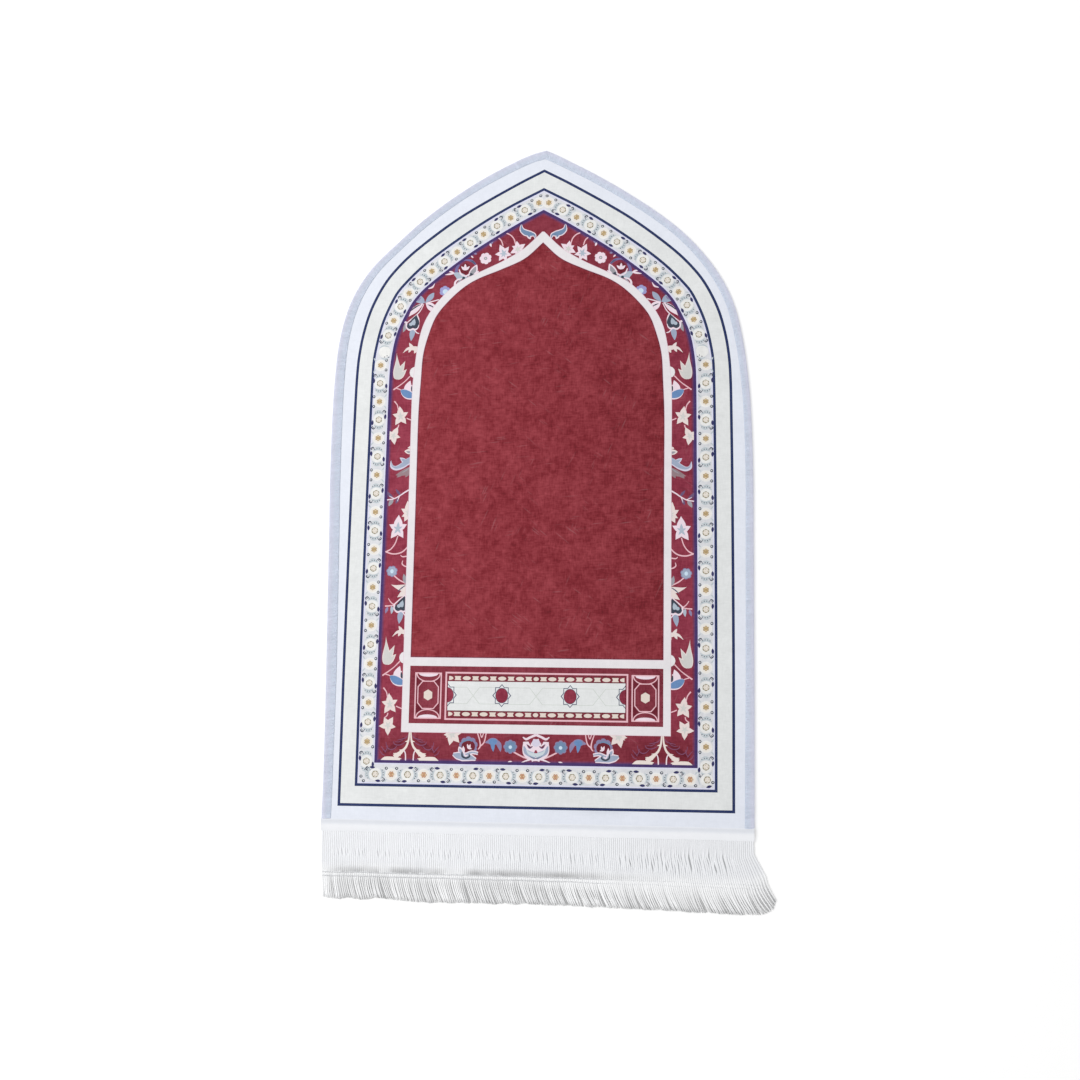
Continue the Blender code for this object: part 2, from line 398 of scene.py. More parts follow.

# Dye colors as a screen shows them, then how much the pile mottles that dye, which also sets how strongly the
# painted shade towards the right darkens it.
inks = {
    "margin": (232, 236, 246, 0.12),
    "navy": (42, 55, 97, 0.35),
    "cream": (230, 232, 232, 0.20),
    "bandEdge": (222, 222, 242, 0.12),
    "bandGround": (221, 222, 226, 0.32),
    "halo": (236, 236, 234, 0.28),
    "purple": (71, 53, 106, 0.40),
    "purpleBlur": (104, 58, 100, 0.60),
    "redBlur": (124, 50, 78, 0.70),
    "borderRed": (142, 50, 70, 0.70),
    "borderDark": (110, 32, 47, 0.60),
    "fieldRed": (136, 41, 51, 1.00),
    "fieldShade": (104, 40, 56, 0.80),
    "panelRed": (129, 46, 61, 0.80),
    "frame": (233, 229, 232, 0.14),
    "frameRim": (229, 205, 216, 0.14),
    "pinkWhite": (238, 221, 231, 0.14),
    "pink": (235, 190, 199, 0.15),
    "petal": (233, 219, 216, 0.14),
    "petalCore": (210, 209, 206, 0.14),
    "sand": (236, 224, 217, 0.12),
    "slate": (84, 90, 114, 0.30),
    "ash": (158, 156, 164, 0.25),
    "taupe": (152, 128, 134, 0.30),
    "heartDark": (62, 70, 84, 0.30),
    "heartLight": (176, 188, 202, 0.20),
    "cloudRim": (214, 210, 228, 0.15),
    "cloud": (160, 172, 194, 0.25),
    "blue": (114, 140, 172, 0.30),
    "brightBlue": (107, 141, 187, 0.30),
    "iceBlue": (204, 224, 240, 0.12),
    "lilac": (140, 132, 168, 0.30),
    "plum": (112, 88, 122, 0.35),
    "mauve": (130, 80, 110, 0.35),
    "lavender": (158, 158, 206, 0.25),
    "violet": (118, 108, 158, 0.30),
    "bowl": (204, 214, 220, 0.15),
    "goldDark": (158, 132, 94, 0.25),
    "gold": (198, 174, 132, 0.25),
    "goldDarkWarm": (170, 118, 88, 0.25),
    "goldWarm": (206, 166, 134, 0.25),
    "goldLight": (226, 204, 166, 0.25),
    "goldHalo": (238, 232, 224, 0.12),
    "ringLine": (150, 141, 116, 0.20),
    "ringFill": (232, 224, 214, 0.14),
    "sprig": (190, 200, 205, 0.15),
    "curl": (78, 84, 98, 0.25),
    "lozenge": (56, 56, 100, 0.30),
    "lattice": (206, 212, 206, 0.12),
    "hexagon": (229, 216, 206, 0.12),
}


# The border's red grows deeper towards the foot and the tip: height on the rug and share of the deep red
deepRed = (129, 43, 58)
footFade = ((-372, 0.2), (-382, 0.4), (-392, 0.6), (-402, 0.8), (-412, 1.0))
tipFade = ((150, 0.12), (200, 0.24), (250, 0.36), (290, 0.48), (330, 0.6), (370, 0.72), (400, 0.84))
for height, share in footFade + tipFade:
    mixed = [round(a + share * (b - a)) for a, b in zip(inks["borderRed"], deepRed)]
    inks["borderRed%d" % height] = (*mixed, inks["borderRed"][3])

# How the charted print sits on the cloth: moved, a touch smaller, and turned a little
seat = {"x": 1.07, "y": -0.82, "shrinkX": 0.00062, "shrinkY": 0.00144, "skewX": -0.00078, "skewY": 0.00114}


def seated(points):
    return [(x + seat["x"] - seat["shrinkX"] * x + seat["skewX"] * y,
        y + seat["y"] - seat["shrinkY"] * y + seat["skewY"] * x) for x, y in points]


class Chart:
    # Shapes in painter's order: the last one over a spot gives its dye
    def __init__(self):
        self.shapes = []
        self.moved = (0.0, 0.0)  # where draw puts a repeat
        self.nudge = 0.0  # how far right of its mirrored place the right half's shape lies

    def lay(self, ink, points, hole=None):
        self.shapes.append((ink, seated(points), seated(hole) if hole else None))

    def draw(self, ink, points):
        # On the left half as charted, and again on the right half
        points = shifted(points, *self.moved)
        self.lay(ink, points)
        self.lay(ink, shifted(otherHalf(points), self.nudge, 0.0))

    def leaves(self, ink, *leaves):
        for base, tip, wide, *more in leaves:
            self.draw(ink, leaf(base, tip, wide, *more))

    def rimmed(self, rim, core, thick, *leaves):
        # Leaves that join, with one rim round them all
        self.leaves(rim, *leaves)
        for base, tip, wide, *more in leaves:
            share = 1 - 1.8 * thick / math.dist(base, tip)
            inner = (base[0] + share * (tip[0] - base[0]), base[1] + share * (tip[1] - base[1]))
            self.draw(core, leaf(base, inner, wide - 2 * thick, *more))

    def stems(self, ink, *stems):
        for points, widths in stems:
            self.draw(ink, ribbon(points, widths))

    def lily(self, ink, core, x, y, tips, fat=0.58, coreReach=0.46):
        # A pointed petal for each angle in degrees and reach, over a smaller flower of the core's ink
        for color, share, plump in ((ink, 1.0, fat), (core, coreReach, 0.7 * fat)):
            self.draw(color, disk(x, y, 0.3 * share * min(reach for angle, reach in tips)))
            for angle, reach in tips:
                far = share * reach
                tip = (x + far * math.cos(math.radians(angle)), y + far * math.sin(math.radians(angle)))
                self.leaves(color, ((x, y), tip, plump * far, 0.0, 0.68, 1.15))


# Arched lines of the print: half of the width at each height, from the foot corner up to the tip.
archLines = {
    "outer": (
        (304.8, -518.3), (305.3, -270), (304.3, 0), (303.3, 100), (302.3, 160), (299.8, 200), (293.3, 240),
        (281.8, 280), (262.3, 320), (239.8, 350), (209.5, 380), (159.5, 420), (115, 450), (45, 491.1),
        (0, 515),
    ),
    "inner": (
        (278.6, -487.6), (279, -270), (278, 0), (275.8, 180), (270.8, 220), (260.8, 260), (243.5, 300),
        (229.3, 320), (200.5, 350), (164.5, 380), (108.8, 420), (56.6, 452.7), (0, 483),
    ),
    "purple": (
        (248.6, -451.4), (248.8, -270), (247.3, 0), (246.3, 160), (243.5, 200), (235.3, 240), (217.5, 280),
        (204.5, 300), (185, 320), (148.3, 350), (107.8, 380), (44.5, 420), (0, 445),
    ),
    "frameOut": (
        (210, -405.9), (210, 0), (210, 140), (206.9, 183.7), (203, 217.1), (196.3, 248.1), (184.3, 274),
        (167.2, 297.2), (140, 323.1), (104.8, 341.3), (67.3, 359.4), (34.8, 378.9), (12.5, 399), (5.8, 406),
        (1.8, 410),
    ),
    "frameIn": (
        (198.3, -288.9), (198.3, 0), (198.3, 100), (196, 159), (193.5, 201.6), (185.6, 235.1), (173.9, 266.3),
        (154.3, 292), (129.5, 315.4), (104.5, 330.8), (67, 346.2), (29.4, 364.3), (0, 391.4),
    ),
}
lineWide = {"outer": 4.3, "inner": 4.2, "purple": 4.4}
bandEdgeWide = 2.2
frameRimWide = 0.8  # the soft edge on both sides of the white frame
fieldShadeWide = 1.3
# The purple line's dye has run into the border's red: each ink, and how far inside the line it begins
blurSteps = (("purpleBlur", 0.0), ("redBlur", 1.7), ("borderRed", 3.6))


def archLoop(name, offset=0.0):
    # The whole arched loop, moved outwards by the offset
    half = smooth([(-x, y) for x, y in archLines[name]], closed=False, detail=5.0)
    pointed = abs(half[-1][0]) < 0.1
    beyond = half[-2] if pointed else half[-1]
    before = [(half[0][0] + 1.0, half[0][1])] + half[:-1]
    after = half[1:] + [(-beyond[0], beyond[1])]
    moved = []
    for (ax, ay), (x, y), (bx, by) in zip(before, half, after):
        first = math.atan2(y - ay, x - ax)
        second = math.atan2(by - y, bx - x)
        turn = (second - first + math.pi) % math.tau - math.pi
        middle = first + 0.5 * turn
        reach = offset / max(0.4, math.cos(0.5 * turn))
        moved.append((x - reach * math.sin(middle), y + reach * math.cos(middle)))
    mirror = [(-x, y) for x, y in (moved[:-1] if pointed else moved)[::-1]]
    return onCloth(moved + mirror)[::-1]


def paintBands(chart):
    for name, ground in (("outer", "cream"), ("inner", "bandGround")):
        half = 0.5 * lineWide[name]
        chart.lay("navy", archLoop(name, half))
        if name == "inner":
            chart.lay("bandEdge", archLoop(name, -half))
        chart.lay(ground, archLoop(name, -half - (bandEdgeWide if name == "inner" else 0.0)))
    half = 0.5 * lineWide["purple"]
    chart.lay("bandEdge", archLoop("purple", half + bandEdgeWide))


# The flower band: gold flowers and ring rosettes take turns along its middle line.
flowerBand = {"middle": 263.4, "sidePitch": 30.28, "sideTop": 184.4, "sideCount": 22, "archPitch": 26.3,
    "archFirst": 9.6, "archCount": 14, "footY": -470.9, "footPitch": 25.7, "footFirst": -248.8,
    "footCount": 20, "archTop": 464.5, "archFrom": 150.0, "halo": 9.6, "goldHalo": 7.6, "flower": 4.8,
    "ring": 5.5, "ringHole": 4.3, "eye": 2.6, "eyeHole": 1.0}


def eye(put, a, b):
    # A small dark ring with a pale middle
    put("curl", disk(a, b, flowerBand["eye"], 0.9 * flowerBand["eye"], 12))
    put("halo", disk(a + 0.2, b + 0.2, flowerBand["eyeHole"], count=10))


def rosette(put, a, b):
    put("ringLine", daisy(a, b, flowerBand["ring"], 6, 0.12))
    put("ringFill", daisy(a + 0.2, b - 0.1, flowerBand["ringHole"], 6, 0.14, 0.5))
    for turn in (0.4, 2.6, 4.4):
        put("ringLine", disk(a + 2.6 * math.cos(turn), b + 2.6 * math.sin(turn), 0.6, count=5))


def paintCell(chart, x, y, along, kind, side, warm=""):
    # One rosette or flower with its small leaves; along is the band's direction, and side -1 swaps the leaves
    c, s = math.cos(along), math.sin(along)

    def put(ink, points):
        chart.lay(ink, [(x + a * c - b * s, y + a * s + b * c) for a, b in points])

    put("halo", disk(0, 0, flowerBand["halo"], count=20))
    if kind == "gold":
        flower = flowerBand["flower"]
        put("goldHalo", disk(0, 0, flowerBand["goldHalo"], count=18))
        put("goldDark" + warm, daisy(0, 0, flower, 6, 0.3))
        for turn in range(6):
            at = 0.58 * flower
            place = (at * math.cos(turn * math.tau / 6), at * math.sin(turn * math.tau / 6))
            put("goldLight" if turn % 3 == 0 else "gold" + warm, disk(*place, 0.26 * flower, count=7))
        put("gold" + warm, disk(0, 0, 0.24 * flower, count=8))
        for way in (-1, 1):
            eye(put, 8.2 * way, -9.2 * side)
        for way in (-1, 1):
            bow = [(way * a, side * b) for a, b in ((7.4, 7.6), (9.4, 10.0), (12.4, 11.6))]
            put("sprig", ribbon(bow, (0.8, 2.4, 0.8)))
        return
    rosette(put, 0, 0)
    for way in (1, -1):
        near = side * way
        for reach, angles, widths in ((11.8, (-0.86, -0.4, 0.0, 0.4, 0.7), (0.6, 2.8, 2.6, 2.8, 0.8)),
                (15.0, (-0.5, -0.1, 0.34), (0.6, 2.8, 0.8))):
            arc = [(way * reach * math.cos(t), near * reach * math.sin(t)) for t in angles]
            put("sprig", ribbon(arc, widths))
        for t in (-0.5, -0.2, 0.1, 0.4):
            put("curl", disk(way * 13.0 * math.cos(t), near * 13.0 * math.sin(t), 0.9, count=6))
        hook = [(way * 13.0, near * 5.6), (way * 15.2, near * 8.0), (way * 13.2, near * 11.0),
            (way * 10.4, near * 9.6)]
        put("curl", ribbon(hook, (0.9, 1.9, 2.0, 1.1), detail=1.0))
        put("curl", ribbon(((way * 12.2, near * 7.4), (way * 13.0, near * 8.6)), (1.3, 1.5), detail=1.0))
        put("lozenge", leaf((way * 0.2, near * 10.0), (way * 9.4, near * 10.8), 4.2, 0.0, 1.0))


def bandSpots():
    # Place, direction, kind and side of every cell, in the even drawing's left half
    spots = []
    for k in range(flowerBand["sideCount"]):
        y = flowerBand["sideTop"] - flowerBand["sidePitch"] * k
        kind = "gold" if k % 2 == 0 else "ring"
        spots.append((-flowerBand["middle"], y, math.pi / 2, kind, 1 if (k // 2) % 2 == 0 else -1))
    outer = smooth([(-x, y) for x, y in archLines["inner"]][::-1], closed=False, detail=3.0)
    inner = smooth([(-x, y) for x, y in archLines["purple"]][::-1], closed=False, detail=3.0)
    middle = []
    for x, y in outer:
        nx, ny = min(inner, key=lambda p: math.dist(p, (x, y)))
        middle.append((0.5 * (x + nx), 0.5 * (y + ny)))
    low = flowerBand["archFrom"]
    middle = [(0.0, flowerBand["archTop"])] + [p for p in middle if p[0] < -4 and p[1] > low]
    run = 0.0
    wanted = [flowerBand["archFirst"] + flowerBand["archPitch"] * k for k in range(flowerBand["archCount"])]
    for a, b in zip(middle, middle[1:]):
        size = math.dist(a, b)
        while wanted and wanted[0] <= run + size:
            share = (wanted.pop(0) - run) / size
            k = flowerBand["archCount"] - len(wanted) - 1
            spots.append((a[0] + share * (b[0] - a[0]), a[1] + share * (b[1] - a[1]),
                math.atan2(a[1] - b[1], a[0] - b[0]), "gold" if k % 2 == 0 else "ring",
                -1 if (k // 2) % 2 == 0 else 1))
        run += size
    return spots


def paintFlowerBand(chart):
    for x, y, along, kind, side in bandSpots():
        (px, py), = onCloth([(x, y)])
        paintCell(chart, px, py, along, kind, side)
        (qx, qy), = onCloth([(-x, y)])
        paintCell(chart, qx, qy, math.pi - along, kind, -side)
    for k in range(flowerBand["footCount"]):
        x = flowerBand["footFirst"] + flowerBand["footPitch"] * k
        (px, py), = onCloth([(x, flowerBand["footY"])])
        paintCell(chart, px, py, 0.0, "gold" if k % 2 else "ring", 1 if (k // 2) % 2 else -1, "Warm")
    # where the rows meet: below each shoulder, and at the two foot corners
    chart.draw("halo", disk(-257.4, 212.4, 9.6, count=18))
    chart.stems("sprig", (((-267, 219), (-260, 223), (-251, 221)), (0.8, 2.4, 1.0)),
        (((-263, 202.6), (-256, 200.6), (-249, 204.6)), (0.8, 2.4, 1.0)))
    for x, y in ((-253.4, 206), (-250.6, 203.4), (-257.4, 204)):
        chart.draw("curl", disk(x, y, 1.0, count=6))
    for x, y in ((-271.2, -473), (-267, -480)):
        eye(chart.lay, x, y)
    chart.lay("sprig", ribbon(((-257, -460), (-260.6, -468), (-258.4, -477)), (1.0, 2.2, 1.0)))
    chart.lay("halo", disk(264.4, -473, flowerBand["halo"], count=18))
    rosette(chart.lay, 265.4, -472.6)
    chart.lay("sprig", ribbon(((252.6, -462), (251.6, -471), (254.6, -480.4)), (1.0, 2.2, 1.0)))
    chart.lay("lozenge", leaf((263.4, -484), (272.4, -481.6), 4.2, 0.0, 1.0))
    eye(chart.lay, 273.6, -476.4)


# The red border's motifs are built of plain leaves, petals, daisies and stems, charted on the left half.
def paintHeartLeaf(chart, dx, dy, stem):
    chart.moved = (0, 0)
    chart.stems("pinkWhite", (stem, (1.4, 1.7, 1.5)))
    chart.moved = (dx, dy)
    chart.leaves("cloud", ((-211.0, 252), (-214.4, 230), 9.0, -0.4, 0.75))
    rim = ((-223, 260.8), (-222.4, 253.6), (-217.6, 248.8), (-212.6, 250.4), (-207, 249.6), (-203.4, 255),
        (-203, 266), (-206.6, 275))
    chart.stems("pinkWhite", (rim, 2.9))
    chart.draw("heartDark", disk(-216.6, 256.0, 5.6))
    chart.draw("heartDark", disk(-208.0, 256.2, 4.8, 5.4))
    chart.leaves("heartDark", ((-212.4, 253), (-206.8, 274.6), 16.4, -0.8, 0.64, 1.1))
    chart.draw("heartLight", disk(-215.6, 258.6, 2.9))
    chart.draw("heartLight", disk(-210.6, 259.0, 2.5))
    chart.leaves("heartLight", ((-213.2, 257), (-209.4, 268.0), 7.4, -0.4, 0.66, 1.1))
    chart.stems("pinkWhite", (((-210, 249.6), (-205.4, 244), (-201, 242.4)), (1.6, 1.8, 1.4)))


repeatStep = (-1.7, -464.4)  # from the upper group of the side border to the lower one
heartStep = (-4.4, -464.2)


def paintRepeat(chart, dx, dy):
    # The group that stands twice along each side
    chart.moved = (dx, dy)
    chart.stems("petal", (((-200, 215), (-210, 217.6), (-219.4, 217), (-227.2, 210)), (9.4, 7.0, 4.2, 0.4)))
    chart.leaves("petal", ((-210, 215), (-217.4, 227), 5.6), ((-213.6, 218), (-217.8, 210.4), 4.4),
        ((-204, 217), (-208.6, 208.8), 5.0))
    chart.rimmed("petal", "petalCore", 1.4, ((-235.4, 165.4), (-237.6, 212), 13.4, -0.6, 0.5, 1.7),
        ((-236, 168), (-222.8, 196.6), 9.4, 0.0, 0.8, 1.2),
        ((-235.6, 166), (-219.8, 182.6), 10.0, 0.0, 0.7, 1.1))
    chart.draw("frame", disk(-205.6, 176.8, 9.4, 9.6))
    chart.stems("pink", (((-213.6, 171), (-224.6, 160.2), (-241, 148.4)), (1.9, 1.5, 2.4)),
        (((-236, 150.6), (-231, 149.2), (-225, 146.4)), (1.6, 1.6, 1.8)))
    chart.leaves("pinkWhite", ((-218, 142), (-213.2, 163.4), 12.0, 1.2, 0.68),
        ((-216, 148), (-209.8, 155.8), 5.0))
    chart.rimmed("pinkWhite", "brightBlue", 1.7, ((-229, 147.6), (-198, 134.4), 15.4, -2.0, 0.8))
    chart.leaves("heartDark", ((-209.2, 143.2), (-211.2, 154.6), 3.6))
    chart.lily("petal", "petalCore", -227.4, 103.4,
        ((97, 17.8), (31, 14), (-52, 15.6), (-121, 16.6), (163, 14)), 0.58)
    chart.stems("pink", (((-238.6, 129.4), (-233.6, 122.6), (-231.4, 114)), (2.2, 1.7, 1.7)),
        (((-217.4, 100.6), (-212.6, 98.4), (-206, 96)), 1.7),
        (((-230, 90), (-231.4, 85.6), (-235, 82.6)), 1.7))


def paintSideMiddle(chart):
    chart.moved = (0, 0)
    chart.lily("petal", "petalCore", -238.4, 71.6, ((64, 16.4), (-14, 12), (-80, 15), (-150, 12), (136, 12)),
        0.6)
    # buds at the frame, a scroll leaf and a thistle leaf
    chart.leaves("petal", ((-203, 52.8), (-214.2, 51.2), 5.0, 0.0, 1.0),
        ((-202, 44.2), (-219.4, 45.8), 8.6, 0.0, 1.15))
    chart.leaves("ash", ((-208, 43.2), (-216.6, 45.6), 4.0))
    chart.leaves("taupe", ((-200, 20), (-232.6, 6.4), 11.0, 1.6), ((-207, 18), (-216.4, 2.6), 7.6),
        ((-203, 14), (-210.4, 6), 5.6), ((-218, 12), (-230.6, 2.6), 5.6))
    chart.stems("ash", (((-208, 20), (-215, 14.4), (-222, 10.4)), (0.8, 2.0, 0.6)))
    sweep = ((-202, 33.4), (-213, 28.4), (-222.6, 21.6), (-232, 18), (-239, 21), (-241, 30))
    chart.stems("cloudRim", (sweep, (12.0, 10.6, 9.4, 7.4, 5.6, 0.8)))
    chart.leaves("cloudRim", ((-214, 26), (-226.4, 35.4), 7.4))
    chart.stems("cloud", (shifted(sweep, 0.4, 1.0), (10.0, 8.6, 6.6, 3.8, 2.0, 0.3)))
    chart.leaves("cloud", ((-214, 27), (-224.4, 33.6), 5.0))
    # a sprig
    chart.leaves("plum", ((-235.4, -31.2), (-246.4, -19.4), 5.4, 0.8))
    chart.leaves("ash", ((-235, -33.4), (-242.2, -44.4), 6.4, -0.6))
    chart.leaves("plum", ((-223.6, -26.4), (-231.6, -16.4), 4.4), ((-226.4, -31), (-230.6, -40.4), 5.0))
    chart.stems("pinkWhite", (((-206, -16), (-216, -21.6), (-224, -27), (-233.4, -32), (-245, -34)),
        (2.6, 2.2, 1.9, 1.7, 2.0)), (((-234, -31.6), (-238, -29.6), (-241.6, -27.6)), (1.3, 1.3, 0.8)),
        (((-224.4, -27.6), (-226.4, -31.4), (-228, -36.4)), (1.4, 1.3, 0.7)))
    # lilies and their stems
    chart.lily("petal", "petalCore", -208.6, -56,
        ((98, 20.5), (150, 15), (206, 13), (-118, 15.6), (-60, 14)), 0.56)
    chart.stems("pink", (((-225.4, -93), (-229.4, -105), (-236, -114), (-244.6, -118.9)),
        (1.6, 1.8, 1.9, 2.6)),
        (((-243.4, -118.9), (-233, -121.9), (-222.6, -121), (-214.6, -116.8), (-206, -107.4)), 2.1),
        (((-220, -124), (-216.4, -126.6), (-206, -125.2)), (1.0, 2.0, 2.0)),
        (((-216, -132.8), (-217, -138), (-213, -141.6), (-206, -143.4)), (1.0, 2.0, 2.0, 1.8)),
        (((-229.4, -157), (-220.4, -164.2), (-206, -171.4)), 2.0))
    chart.lily("pinkWhite", "heartLight", -225.7, -81.4,
        ((88, 23), (27, 16.4), (-58, 17.6), (-126, 19), (153, 16.2)), 0.6, 0.5)
    # a daisy, a half leaf and a swallow-tailed leaf
    chart.draw("lilac", daisy(-233, -150, 9.2, 7, 0.18, 0.3))
    chart.draw("cloud", daisy(-233, -150, 7.8, 7, 0.14, 0.3))
    chart.draw("iceBlue", disk(-233, -150, 2.8, 3.4, 10))
    chart.leaves("ash", ((-206, -171), (-213.8, -154), 7.6, 1.6))
    chart.leaves("petal", ((-200, -174), (-234, -171), 10.4, 4.0, 0.7, 1.2),
        ((-206, -177), (-223.6, -192), 8.4, 1.0, 0.9, 1.2))
    chart.stems("slate", (((-210.6, -173), (-217, -177.4), (-222.6, -182.8)), (1.4, 1.9, 0.8)))
    chart.stems("pink", (((-206, -184.4), (-218, -194.4), (-229, -204)), (1.7, 1.8, 1.8)),
        (((-228, -203.4), (-233, -199.8), (-237.4, -193.4)), (1.7, 1.6, 1.1)),
        (((-228.6, -204.4), (-235, -205.4), (-242.4, -205.8)), (1.8, 1.8, 2.2)))
    chart.leaves("lilac", ((-238, -207), (-241.4, -217.6), 4.6))
    chart.leaves("heartLight", ((-231.6, -205.6), (-231.8, -218.6), 5.2, 0.8))
    chart.lily("petal", "petalCore", -231.2, -394.6, ((60, 16), (116, 15), (182, 14.5), (-88, 15), (-8, 13)),
        0.6)


def paintArch(chart):
    # From the tip of the arch down its left shoulder
    chart.moved = (0, 0)
    horn = ((-12.6, 396.6), (-14.6, 404.6), (-21.6, 406.8), (-29.6, 409.4), (-35.4, 414.8), (-36.6, 424.2))
    chart.stems("pinkWhite", (horn, (1.4, 6.0, 10.6, 11.0, 8.0, 1.4)))
    chart.leaves("pinkWhite", ((-25, 407), (-21.2, 397.4), 7.0))
    chart.stems("blue", (horn, (0.0, 2.8, 7.4, 7.8, 4.8, 0.0)))
    chart.leaves("blue", ((-25, 406.6), (-22, 400.6), 3.6))
    chart.stems("pink", (((-61, 409.6), (-53.6, 405.6), (-48.2, 399), (-45.4, 390)), (2.1, 1.9, 1.9, 1.9)),
        (((-73.8, 401.8), (-69, 396.6), (-66, 388)), (2.0, 1.8, 1.9)))
    chart.lily("pinkWhite", "petalCore", -41.5, 381.2,
        ((98, 14.6), (148, 11.4), (208, 14), (268, 14), (328, 14), (36, 15)))
    chart.lily("pinkWhite", "heartLight", -64.5, 374.6,
        ((114, 17.4), (55, 14.4), (-14, 13.6), (-72, 14), (-122, 15), (184, 14.6)), 0.56, 0.5)
    chart.draw("pinkWhite", daisy(-94.4, 367.2, 10.0, 7, 0.18, 0.4))
    chart.draw("ash", disk(-94.4, 367.4, 2.9, count=10))
    chart.draw("petalCore", disk(-94.4, 367.4, 1.4, count=8))
    chart.leaves("lilac", ((-89, 391.4), (-82, 395.4), 4.0), ((-114, 376.8), (-108.6, 375), 3.6))
    chart.leaves("pinkWhite", ((-87.8, 393), (-85.2, 386.6), 3.4), ((-118.8, 372.8), (-114.6, 368.6), 2.6))
    # fan flower with a tulip bud, on a bed of leaves
    chart.stems("violet", (((-142.6, 341), (-142.2, 350), (-138.6, 358.6)), (6.4, 5.0, 4.4)),
        (((-134, 363.6), (-127.4, 365.6), (-118, 364), (-110.6, 357.6)), (1.4, 2.2, 4.4, 3.0)))
    chart.stems("slate", (((-120, 364.4), (-115.6, 362.2), (-111.6, 358.4)), (1.0, 2.8, 2.0)))
    chart.draw("borderDark", disk(-127.6, 351, 8.4, 9.4, 16))
    chart.leaves("pinkWhite", ((-127.4, 347.6), (-128, 359.2), 4.4), ((-127.6, 348), (-120.4, 354.8), 4.2),
        ((-127.6, 348), (-134.6, 355), 4.2))
    chart.leaves("heartLight", ((-147, 343.6), (-120, 333.6), 10.4, -0.8, 0.8),
        ((-143, 340), (-134, 329), 5.4))
    chart.stems("pinkWhite", (((-144.4, 320), (-143.8, 328), (-139.6, 332.4), (-132.6, 333.8)),
        (3.4, 3.2, 2.6, 1.6)))
    chart.leaves("ash", ((-141.4, 324.6), (-132.2, 331.2), 3.8, 0.8))
    chart.draw("heartDark", disk(-130, 334.4, 2.6, 3.0, 10))
    chart.rimmed("pinkWhite", "ash", 1.9, ((-122, 333.6), (-108.4, 357.4), 12.4, -1.2, 0.95))
    chart.draw("heartDark", disk(-118, 340.4, 3.4, 2.6, 10))
    chart.stems("pinkWhite", (((-138, 349.8), (-134.6, 342), (-127, 338.2), (-120, 341.6)),
        (1.6, 2.6, 2.4, 2.0)))
    chart.leaves("pinkWhite", ((-113, 340.6), (-104.6, 346), 4.0), ((-144.6, 344), (-162, 341.4), 3.2, 0.4),
        ((-146, 344.4), (-157.4, 347.4), 2.8, -0.4))
    # half daisy and a bud at the line
    chart.draw("lavender", daisy(-160.6, 313.4, 9.0, 6, 0.17, 0.5))
    chart.draw("iceBlue", disk(-159.8, 312.4, 4.4, count=12))
    chart.stems("pinkWhite", (((-188.4, 318.6), (-181.6, 320.8), (-177.6, 327.2)), (1.4, 3.0, 0.6)))
    # star of leaves on the shoulder
    chart.leaves("pinkWhite", ((-196, 293.6), (-219.6, 271.4), 9.6, -1.4, 1.0, 1.2),
        ((-192, 295.2), (-180, 279.0), 8.4, 0.6, 1.1), ((-190, 294), (-174, 287), 6.4))
    chart.stems("heartDark", (((-199.6, 291.8), (-208, 288), (-217, 281)), (0.8, 2.4, 1.4)),
        (((-188.4, 291.2), (-184, 289.4), (-179.4, 287)), (0.8, 2.2, 1.4)))
    chart.leaves("cloud", ((-193.2, 294), (-178.2, 311.4), 9.0, -0.6, 1.2),
        ((-193.2, 294.4), (-203.6, 307.6), 7.0, 0.6, 1.1), ((-193.4, 294.6), (-211, 298.2), 5.0))
    chart.leaves("lilac", ((-200, 304), (-207.8, 297.2), 3.4))
    chart.stems("pinkWhite", (((-190, 294.4), (-181, 296.4), (-170, 299.2)), (1.1, 1.8, 1.8)))
    chart.leaves("pinkWhite", ((-221.6, 261.6), (-228.2, 262.6), 3.4))
    chart.leaves("ash", ((-223.6, 261.6), (-228.4, 245), 6.0, 1.0))
    paintHeartLeaf(chart, 0, 0, ((-195, 292), (-203, 277.8), (-222.8, 260.8)))


footBranchesAt = -195.2
footNudges = {"branches": 2.1, "lily": 1.8, "rest": 4.2}
vaseAt = 2.9


